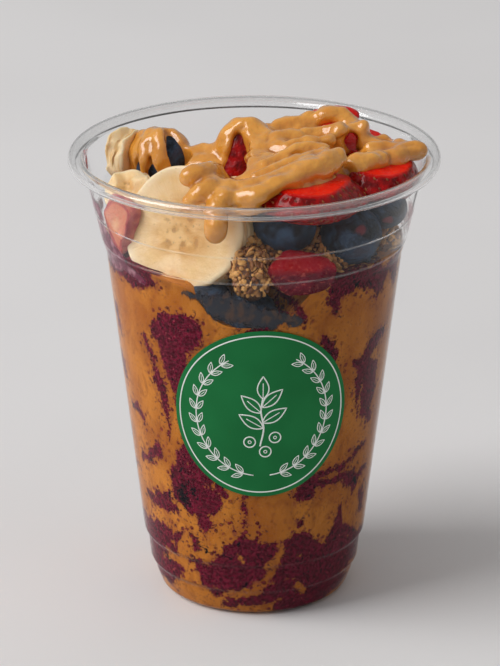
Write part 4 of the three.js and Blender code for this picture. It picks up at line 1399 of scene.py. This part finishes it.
TONGUE = [
    [(-9, -15, 118, 3), (-11.4, -20.6, 120.8, 3.1), (-13.8, -24.2, 121.8, 3),
     (-16.2, -25.4, 121.6, 2.4)],
    [(-10.1, -20.1, 119.4, 2), (-13.2, -25, 119.2, 1.8), (-14.6, -27, 118.2, 1.4)],
    [(-6.6, -21, 116.8, 2.8), (-10.5, -27.6, 119.3, 3.1), (-13.5, -30.4, 118.4, 2.8),
     (-16.2, -30.5, 117, 1.9)],
    [(-4.6, -24.8, 116.2, 3.2), (-6.5, -30.5, 117.4, 3.2), (-9, -33.9, 116.2, 3.1),
     (-9.6, -36.6, 112.6, 3), (-9.6, -36.4, 110.8, 2.7)],
    [(-5.4, -22.4, 117.6, 1.8), (-6, -27.7, 119.4, 2.1), (-7, -32.5, 118.6, 2.4)],
]
FRONT_BAND = [
    [(-3.4, -24.7, 116.8, 2.8), (-2, -31.3, 118, 3.2), (-1.8, -32.8, 116.6, 2.8)],
    [(-2.5, -32.8, 118.2, 2.6), (0.7, -33.4, 119.3, 2.7), (5.6, -30.9, 120.8, 2.6),
     (10.9, -27.1, 122, 2.5), (15.9, -22.8, 122.8, 2.7), (19.6, -19.2, 123, 2.5)],
    [(-2.8, -29, 119.5, 2.4), (1.9, -28.9, 120.8, 2.2), (7.7, -25.6, 122.3, 2.1),
     (14, -21, 123.4, 2.1), (20.9, -17, 123.6, 2.5)],
    [(0.6, -23.6, 120.4, 2), (4.5, -22, 121.6, 2), (9.5, -19, 123, 2), (14.6, -16.4, 123.8, 2.2),
     (18.6, -14.8, 123.6, 2.2)],
    [(3, -15.5, 120.5, 2), (7, -12, 122, 1.8), (13.1, -9.6, 123.2, 2.2), (17.6, -9.6, 123.4, 1.8)],
]
UPPER_BAND = [
    [(-1.3, 4.6, 123, 3), (1, 1.7, 121.5, 3.3), (1.5, -4.1, 120.2, 3), (0.5, -11, 119, 2.8)],
    [(-0.5, 5.6, 123.5, 2.6), (3.1, 3.5, 122, 2.8), (6.1, -3.5, 121.6, 2.6)],
    [(3.6, 9.4, 121.6, 2.2), (7.7, 10.6, 123, 2.6), (12.4, 11.3, 124, 2.5), (16.3, 11.9, 124.4, 2.3),
     (20, 12.1, 125.7, 2.8), (23, 10.8, 125, 2.2), (25, 9.9, 124.2, 2.4), (27.4, 9, 123.4, 1.9)],
    [(5.1, -0.6, 121.6, 2.2), (9.7, 0.3, 123, 2.4), (14.8, 1.7, 123.8, 1.9), (18.4, 2.6, 124.4, 2.3),
     (21.6, 1.4, 124.4, 2.8)], [(25, 5.6, 123.8, 2), (27.4, 5.4, 123.6, 2.5)],
    [(8.6, -5.7, 122.2, 1.8), (13.2, -4.9, 123.2, 2.3), (16.4, -4, 123.4, 1.8), (19, -3.6, 123.6, 2.2)],
]
RIGHT_LOBES = [
    [(26.4, 6, 121.6, 2), (29.6, 4.6, 120.4, 2.6), (33, 4.2, 119.8, 2), (36.5, 1.6, 119.8, 2.4),
     (39.2, -0.4, 120.6, 2.1), (41.4, -1.9, 120.8, 2.6)],
    [(25.4, -12.1, 121, 2.4), (27.8, -12.1, 120.2, 2), (31.2, -8.9, 120.4, 2.5),
     (34.6, -6.2, 120.4, 1.9), (38.5, -4.1, 120.8, 2.3)],
    [(29.6, -2, 120.6, 1.9), (33, -1.6, 120.8, 2.4), (36.4, -2, 120.4, 2)],
    [(25.8, -10.6, 121, 2), (26.5, -13.4, 119.8, 2), (26.8, -13.2, 118.8, 1.5)],
]
LOW_STRAND = [(-16.6, 7.8, 116, 2.4), (-12.9, 7.8, 116.8, 2.7), (-9.3, 6, 117.4, 2.6)]
# Flat bodies of peanut butter under the ropes: centre, half sizes and turn about the vertical.
POOLS = [
    ((8, -25.6, 119.2), (11, 5.5, 2.6), 0.45),
    ((9, -12, 117.6), (15, 15, 4.6), 0.3),
    ((12, 4, 119.4), (14, 8, 4.4), 0.2),
    ((31, -3, 118), (10.4, 6.4, 3), 0.7),
    ((-5, -18, 113), (8, 9, 4), 0.0),
    ((-12, 4.6, 114.6), (9, 5.6, 3.4), 0.0),
]
HOOD_SLIT = [
    (-3.6, 1.4, 125.6, 1.6), (-4, -0.8, 123.2, 2.7), (-4.4, -1.6, 119, 3.5), (-4.9, -2, 114.6, 3.8),
]
HOOD_VALLEY = [
    (-4.9, -2, 115.4, 3.5), (-4.9, -8, 117.8, 3.4), (-4.9, -14, 120.4, 3), (-4.9, -19, 122.8, 2.6),
]
# an opening between the upper band and the lobes, down to the strawberry
HOLLOW = [(24.1, -12, 126.6, 1.7), (24.5, -1.2, 123, 2.1), (24.8, 6, 120.6, 2.4), (25, 13, 118.4, 1.8)]
FLOW = unit((0.82, 0.55, 0.1))  # the way the front and upper bands were drawn
PEANUT_LOW, PEANUT_HIGH, PEANUT_STEP = (-35, -41, 102), (47.6, 24, 130), 0.4
KNOB_LIFT, KNOB_SPREAD, KNOB_SIZES = 1.1, (1.5, 1.5, 0.5), (1.3, 2)
CUP_TOP = 119  # above this nothing is pressed against the wall
WAVE_SIZE, RIDGE_SIZE, KNOB_GAP = 3.6, 2.4, 3.9
RIDGE_STRETCH = 12 / 1.8  # how much longer the ridges are than they are wide
HOLLOW_FULL = 0.35  # a place this far below its surroundings counts as fully hollow


def surface_ways(points, faces):
    """The outward way at each point of a closed surface of quads."""
    quads = np.asarray(faces)
    a, b, c, d = (points[quads[:, k]] for k in range(4))
    across = np.cross(c - a, d - b)
    ways = np.zeros_like(points)
    for k in range(4):
        np.add.at(ways, quads[:, k], across)
    return ways / np.maximum(np.linalg.norm(ways, axis=1, keepdims=True), 1e-9)


def eased(points, faces, passes):
    """Points drawn towards the middle of their neighbours, which takes the grid's steps away."""
    quads = np.asarray(faces)
    ends = np.concatenate([quads[:, [k, (k + 1) % 4]] for k in range(4)])
    count = np.bincount(ends[:, 0], minlength=len(points))[:, None]
    for _ in range(passes):
        total = np.zeros_like(points)
        np.add.at(total, ends[:, 0], points[ends[:, 1]])
        points = 0.5 * points + 0.5 * total / count
    return points


def drawn_surface(points, faces):
    """The soft waves and the fine ridges that a spoon's pull leaves, and how hollow each place is."""
    ways = surface_ways(points, faces)
    along = points @ FLOW
    combed = points + FLOW * (along * (1 / RIDGE_STRETCH - 1))[:, None]
    waves = 0.5 * rough(points, WAVE_SIZE, 51) + 0.2 * rough(points, WAVE_SIZE / 2, 52)
    ridges = 0.3 * rough(combed, RIDGE_SIZE, 53) * np.clip((points[:, 0] + 2) / 4, 0, 1)
    knobs = 1.1 * np.abs(rough(points * (1, 1, 0.6), KNOB_GAP, 55)) - 0.3
    knobs *= np.clip((points[:, 0] - 1) / 3, 0, 1) * np.clip((points[:, 1] + 22) / 5, 0, 1)
    moved = points + (waves + ridges + knobs)[:, None] * ways
    smooth = eased(moved, faces, 14)
    hollow = np.sum((smooth - moved) * ways, axis=1)
    return moved, np.clip(hollow / HOLLOW_FULL, -1, 1)


def peanut_butter():
    dough = Dough(PEANUT_LOW, PEANUT_HIGH, PEANUT_STEP)
    # the coat on the left berry, with ridges that end in short legs
    dough.lump(COATED_AT + (0, 0, 0.2), (8.3, 8.3, 8.3), blend=0.5)
    dough.lump(COATED_AT + (0, 1, -9.6), (14, 14, 7.5), blend=1.0, cut=True)
    for points in COAT_ROPES:
        dough.rope(points, 1.4)
    for points in COAT_GAPS:
        dough.rope(points, 0.8, cut=True)
    # the hood round the upright strawberry
    dough.lump((-3.4, 6.4, 116.6), (6.8, 7.4, 10.4), blend=0.5)
    dough.rope(LOW_STRAND, 1.6)
    for centre, axes, lean in POOLS:
        dough.lump(centre, axes, lean, blend=1.6)
    for points in [*UPPER_BAND, *RIGHT_LOBES]:
        dough.rope(points, 2.4)
    # small knobs on top of the long lobes
    knob_random = np.random.default_rng(17)
    for points in RIGHT_LOBES[:3]:
        for x, y, z, _ in curve_through(points, 3)[1:-3:2]:
            centre = np.array((x, y, z + KNOB_LIFT)) + knob_random.uniform(-1, 1, 3) * KNOB_SPREAD
            dough.lump(centre, knob_random.uniform(*KNOB_SIZES) * np.array((1, 1, 0.8)), blend=0.6)
    dough.lump((-4, -1.6, 116.6), (2.6, 6.4, 10.4), blend=0.8, cut=True)
    for points in [*TONGUE, *FRONT_BAND]:
        dough.rope(points, 1.4)
    for points in (HOOD_SLIT, COAT_SLIT, HOOD_VALLEY, HOLLOW):
        dough.rope(points, 0.8, cut=True)
    points, faces = dough.skin()
    points = eased(points, faces, 3)
    points, hollow = drawn_surface(points, faces)
    low = points[:, 2] < CUP_TOP
    points[low] = kept_inside(points[low])
    return make_mesh("peanut_butter_drizzle", points, faces, {"hollow": hollow}, PEANUT_SAUCE)


settled(peanut_butter(), "peanut_butter", "peanut_butter")

# ---------------------------------------------------------------- granola


BED_MIDDLE, BED_FALL, BED_RADIUS = 112, 12, 38  # the bed is highest in its middle
BED_EDGE, BED_FLOOR = 34.4, 96


def granola_height(r, azimuth):
    angle = azimuth - math.pi / 2
    share = r / BED_RADIUS
    uneven = 0.8 * np.sin(3 * angle + r / 4) + 0.6 * np.cos(5 * angle - r / 6)
    return BED_MIDDLE - BED_FALL * share**1.6 + uneven * share


def granola_bed():
    dough = Dough((-38, -39, 91), (39, 39, 115), 0.8)

    def heap(places):
        r, azimuth = np.hypot(places[..., 0], places[..., 1]), azimuth_of(places)
        angle = azimuth - math.pi / 2
        edge = BED_EDGE + 0.6 * np.sin(4 * angle) - 6 * np.exp(-(((azimuth + 0.62) / 0.4) ** 2))
        top = places[..., 2] - granola_height(r, azimuth) - 0.7 * rough(places, 3, 21)
        return np.maximum(np.maximum(top, r - edge), BED_FLOOR - places[..., 2])

    dough.work(heap, (-36, -37, 94), (37, 37, 114), 0)
    dough.lump((-0.6, -33.6, 98.4), (4.6, 4, 7), blend=1)
    dough.lump((33, -10, 99.6), (4, 6, 4.6), blend=1)
    dough.lump((13, -38, 103.6), (10.4, 8, 7), 0.3, blend=1, cut=True)
    points, faces = dough.skin()
    points = kept_inside(points, -1.5)
    # Painted shade: the bed is set darker than any crumb, so that it shows as shadow in the gaps between
    # them.
    shade = 1.8 + 0.3 * rough(points, 2, 22)
    return make_mesh("granola_bed", points, faces, {"shade": shade}, TOASTED_OATS)


def crumb_shape(name, size, sides, seed, bend=0.0):
    """A rough flake or crumb of a few dozen faces, about 1 mm long before it is scaled."""
    polar = np.linspace(0.35, math.pi - 0.35, sides // 2)[:, None]
    angle = round_angles(sides)
    rings = ring_points(np.sin(polar), angle, 0 * angle - np.cos(polar)) * size
    rings *= 1 + 0.22 * rough(rings * 9 + seed, 3, seed)[..., None]
    rings[..., 2] += bend * rings[..., 0] ** 2
    points, faces = capped_rings(rings)
    return make_mesh(name, points, faces)


class Recipe(Tree):
    """A Geometry Nodes tree with named sizes."""

    def __init__(self, name, inputs):
        super().__init__(bpy.data.node_groups.new(name, "GeometryNodeTree"))
        face = self.tree.interface
        face.new_socket("Geometry", in_out="INPUT", socket_type="NodeSocketGeometry")
        face.new_socket("Geometry", in_out="OUTPUT", socket_type="NodeSocketGeometry")
        for key, (kind, value) in inputs.items():
            face.new_socket(key, in_out="INPUT", socket_type=kind).default_value = value
        node = self.tree.nodes.new("NodeGroupInput")
        self.given = {socket.name: Field(self, socket) for socket in node.outputs if socket.name}

    def ended(self, geometry, material):
        """Real meshes with their material."""
        real = self.add("GeometryNodeRealizeInstances", None, {"Geometry": geometry})
        done = self.add("GeometryNodeSetMaterial", None, {"Geometry": real, "Material": material})
        self.add("NodeGroupOutput", None, {"Geometry": done})

    def made_on(self, obj, name):
        """The tree's result on an object's mesh, as a new plain mesh object."""
        modifier = obj.modifiers.new(self.tree.name, "NODES")
        modifier.node_group = self.tree
        evaluated = obj.evaluated_get(bpy.context.evaluated_depsgraph_get())
        mesh = bpy.data.meshes.new_from_object(evaluated)
        mesh.name = name
        obj.modifiers.remove(modifier)
        return linked(name, mesh)


def picked(recipe, objects):
    """Several shapes to choose from, as instances."""
    join = recipe.tree.nodes.new("GeometryNodeJoinGeometry")
    for obj in objects:
        settings = {"transform_space": "ORIGINAL"}
        shape = recipe.add("GeometryNodeObjectInfo", settings, {"Object": obj}, "Geometry")
        single = recipe.add("GeometryNodeGeometryToInstance", None, {"Geometry": shape})
        recipe.tree.links.new(single.socket, join.inputs[0])
    return Field(recipe, join.outputs[0])


def random_value(recipe, kind, low, high, seed):
    first, output = {"FLOAT_VECTOR": (0, 0), "FLOAT": (2, 1), "INT": (4, 2)}[kind]
    inputs = {first: low, first + 1: high, "Seed": seed}
    return recipe.add("FunctionNodeRandomValue", {"data_type": kind}, inputs, output)


def stood_on(recipe, points, shapes, rotation, size, shade_seed, material):
    """Ends a recipe with shapes picked at random for its points, each in a shade of its own."""
    placed = recipe.add("GeometryNodeInstanceOnPoints", None, {
        "Points": points,
        "Instance": picked(recipe, shapes),
        "Pick Instance": True,
        "Instance Index": random_value(recipe, "INT", 0, len(shapes) - 1, 9),
        "Rotation": rotation,
        "Scale": size,
    })
    shade = random_value(recipe, "FLOAT", 0.0, 1.0, shade_seed)
    shaded = recipe.add(
        "GeometryNodeStoreNamedAttribute",
        {"data_type": "FLOAT", "domain": "INSTANCE"},
        {"Geometry": placed, "Name": "shade", "Value": shade},
    )
    recipe.ended(shaded, material)


def scatter_recipe(shapes):
    recipe = Recipe("scatter_oats", {
        "Spacing": ("NodeSocketFloat", 0.001),
        "Smallest": ("NodeSocketFloat", 0.8),
        "Largest": ("NodeSocketFloat", 1.6),
        "Seed": ("NodeSocketInt", 3),
    })
    given = recipe.given
    way = recipe.add("GeometryNodeInputNormal")
    upwards = recipe.add(
        "ShaderNodeVectorMath", {"operation": "DOT_PRODUCT"}, {0: way, 1: (0, 0, 1)}, "Value"
    )
    points = recipe.add(
        "GeometryNodeDistributePointsOnFaces",
        {"distribute_method": "POISSON"},
        {
            "Mesh": given["Geometry"],
            "Selection": upwards.math("GREATER_THAN", -0.5),
            "Distance Min": given["Spacing"],
            "Density Max": 2500000.0,
            "Seed": given["Seed"],
        },
    )
    rotation = random_value(recipe, "FLOAT_VECTOR", (0, 0, 0), (TURN, TURN, TURN), 5)
    size = random_value(recipe, "FLOAT", given["Smallest"], given["Largest"], 7)
    stood_on(recipe, points, shapes, rotation, size, 11, TOASTED_OATS)
    return recipe


def granola():
    bed = granola_bed()
    shapes = [
        crumb_shape("crumb_a", (0.8, 0.65, 0.55), 6, 31),
        crumb_shape("crumb_b", (0.62, 0.55, 0.5), 6, 32),
        crumb_shape("flake_a", (1.25, 0.9, 0.28), 8, 33, 0.16),
        crumb_shape("flake_b", (1.05, 0.8, 0.24), 8, 34, -0.14),
    ]
    crumbs = scatter_recipe(shapes).made_on(bed, "granola_crumbs")
    places = kept_inside(values_of(crumbs.data.vertices, "co", 3) / MM) * MM
    crumbs.data.vertices.foreach_set("co", places.ravel())
    for shape in shapes:
        bpy.data.objects.remove(shape)
    settled(bed, "granola", "granola")
    settled(crumbs, "granola")


granola()


def strawberry_seeds():
    """Seeds on the places kept for them, each along the way the skin looks there."""
    seed = crumb_shape("seed", (0.28, 0.28, 0.56), 8, 41)
    recipe = Recipe("seat_seeds", {"Size": ("NodeSocketFloat", 1.0)})
    way = recipe.add("GeometryNodeInputNamedAttribute", {"data_type": "FLOAT_VECTOR"}, {"Name": "way"})
    turn = recipe.add("FunctionNodeAlignRotationToVector", {"axis": "X"}, {"Vector": way})
    points = recipe.add("GeometryNodeMeshToPoints", None, {"Mesh": recipe.given["Geometry"]})
    stood_on(recipe, points, [seed], turn, recipe.given["Size"], 13, STRAWBERRY_SEED)
    places = np.array([spot for spot, _ in seed_spots])
    host = make_mesh("seed_places", places, [], {"way": np.array([way for _, way in seed_spots])})
    made = recipe.made_on(host, "strawberry_seeds")
    bpy.data.objects.remove(host)
    bpy.data.objects.remove(seed)
    return made


settled(strawberry_seeds(), "strawberry")

# ---------------------------------------------------------------- smears on the wall


FILM_ROW, FILM_COLUMN = 0.5, 0.9  # the grid's steps, in height and in degrees
FILM_OUTER, FILM_INNER = 0.05, -0.25  # its two faces, measured outwards from the food's surface


def film(name, slot, azimuths, heights, strokes, material):
    """A thin skin of juice on the inside of the wall, wiped on in strokes."""
    rows = round((heights[1] - heights[0]) / FILM_ROW)
    columns = round((azimuths[1] - azimuths[0]) / FILM_COLUMN)
    across = np.radians(np.linspace(*azimuths, columns))
    z = np.linspace(*heights, rows)[:, None] + 0 * across
    wall = radius_on(FOOD_SURFACE, z)
    layers = [at_azimuth(across, wall + lift, z) for lift in (FILM_OUTER, FILM_INNER)]
    points = np.concatenate([layer.reshape(-1, 3) for layer in layers])
    layer = rows * columns
    faces = []
    for row in range(rows - 1):
        for column in range(columns - 1):
            a = row * columns + column
            b, c, d = a + 1, a + 1 + columns, a + columns
            faces.append([a, b, c, d])
            faces.append([layer + d, layer + c, layer + b, layer + a])
    border = (
        [(i, i + 1) for i in range(columns - 1)]
        + [(i * columns + columns - 1, (i + 1) * columns + columns - 1) for i in range(rows - 1)]
        + [(layer - 1 - i, layer - 2 - i) for i in range(columns - 1)]
        + [((rows - 1 - i) * columns, (rows - 2 - i) * columns) for i in range(rows - 1)]
    )
    faces += [[b, a, layer + a, layer + b] for a, b in border]
    fade = stroke_depth(points, strokes)
    settled(make_mesh(name, points, faces, {"fade": fade}, material), slot)


film("purple_smear", "acai", (-120, -40), (88, 116), [
    [(-94, 110.6, 1), (-80, 110, 3), (-70, 108, 2.4)],
    [(-98, 104, 1.6), (-88, 103, 4), (-80, 102, 5), (-70, 101, 4)],
    [(-92, 98, 1), (-82, 96.4, 3), (-70, 96.5, 4), (-60, 96.5, 2.6), (-48, 94, 1.4)],
    [(-72, 106, 1.2), (-66, 101.6, 1.6), (-58, 98, 2)],
], PURPLE_FILM)
film("pink_smear", "acai", (54, 112), (92, 117), [
    [(67, 112, 1), (73, 107.6, 2.4), (80, 103.4, 3.4), (92, 101, 2.4), (100, 100.6, 1)],
], PINK_FILM)
film("red_smear", "strawberry", (-101, -76), (109.5, 119.6), [
    [(-97, 118.6, 0.5), (-92, 116.6, 1), (-87, 114.4, 0.8), (-81, 111.6, 0.9), (-78, 110.6, 0.4)],
], RED_FILM)
film("blue_smear", "blueberry", (-34, 23), (83.5, 98.5), [
    [(-27, 94, 0.8), (-21, 93, 2), (-14, 91, 3.4), (-6, 89.4, 3.6), (2, 88.4, 3.2), (10, 88, 2.6),
     (18, 86.8, 0.8)],
    [(-10, 93.4, 2.4), (-4, 91.6, 1.6)],
], BLUE_FILM)

# ---------------------------------------------------------------- studio


# The studio's sizes are in metres, watts and degrees.
FLOOR_HALF = 3.0
KEY_PLACE, KEY_AIM = (-1.65, -0.5, 1.95), (0, 0, 0.06)
KEY_SIZE, KEY_POWER = 1.6, 44
AIR_COLOUR, AIR_STRENGTH = (1, 0.995, 0.99, 1), 0.36
CAMERA_PLACE = (-0.0011, -0.8533, 0.4002)
CAMERA_DOWN = 21.16  # how far it looks below the horizon
FOCAL_LENGTH, SENSOR, IMAGE_HEIGHT = 3500, 36, 666  # in pixels, millimetres and pixels


def studio():
    corners = np.array([(-1, -1, 0), (1, -1, 0), (1, 1, 0), (-1, 1, 0)]) * FLOOR_HALF / MM
    floor = make_mesh("floor", corners, [[0, 1, 2, 3]], material=studio_floor())
    floor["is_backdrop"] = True
    world = bpy.data.worlds.new("studio_air")
    world.use_nodes = True
    air = world.node_tree.nodes["Background"].inputs
    air["Color"].default_value = AIR_COLOUR
    air["Strength"].default_value = AIR_STRENGTH
    bpy.context.scene.world = world
    lamp = bpy.data.lights.new("key", "AREA")
    lamp.shape = "SQUARE"
    lamp.size = KEY_SIZE
    lamp.energy = KEY_POWER
    key = linked("key", lamp)
    key.location = KEY_PLACE
    key.rotation_euler = (Vector(KEY_AIM) - Vector(KEY_PLACE)).to_track_quat("-Z", "Y").to_euler()
    bpy.context.scene.view_settings.view_transform = "Standard"


def camera():
    lens = bpy.data.cameras.new("camera")
    lens.sensor_width = SENSOR
    lens.lens = FOCAL_LENGTH * SENSOR / IMAGE_HEIGHT
    lens.clip_end = 20
    obj = linked("camera", lens)
    obj.location = CAMERA_PLACE
    obj.rotation_euler = (math.radians(90 - CAMERA_DOWN), 0, 0)
    bpy.context.scene.camera = obj


studio()
camera()

boxes = {"cad": CAD_BOX, "visual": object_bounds()}
{key: [list(corner) for corner in box] for key, box in boxes.items()}
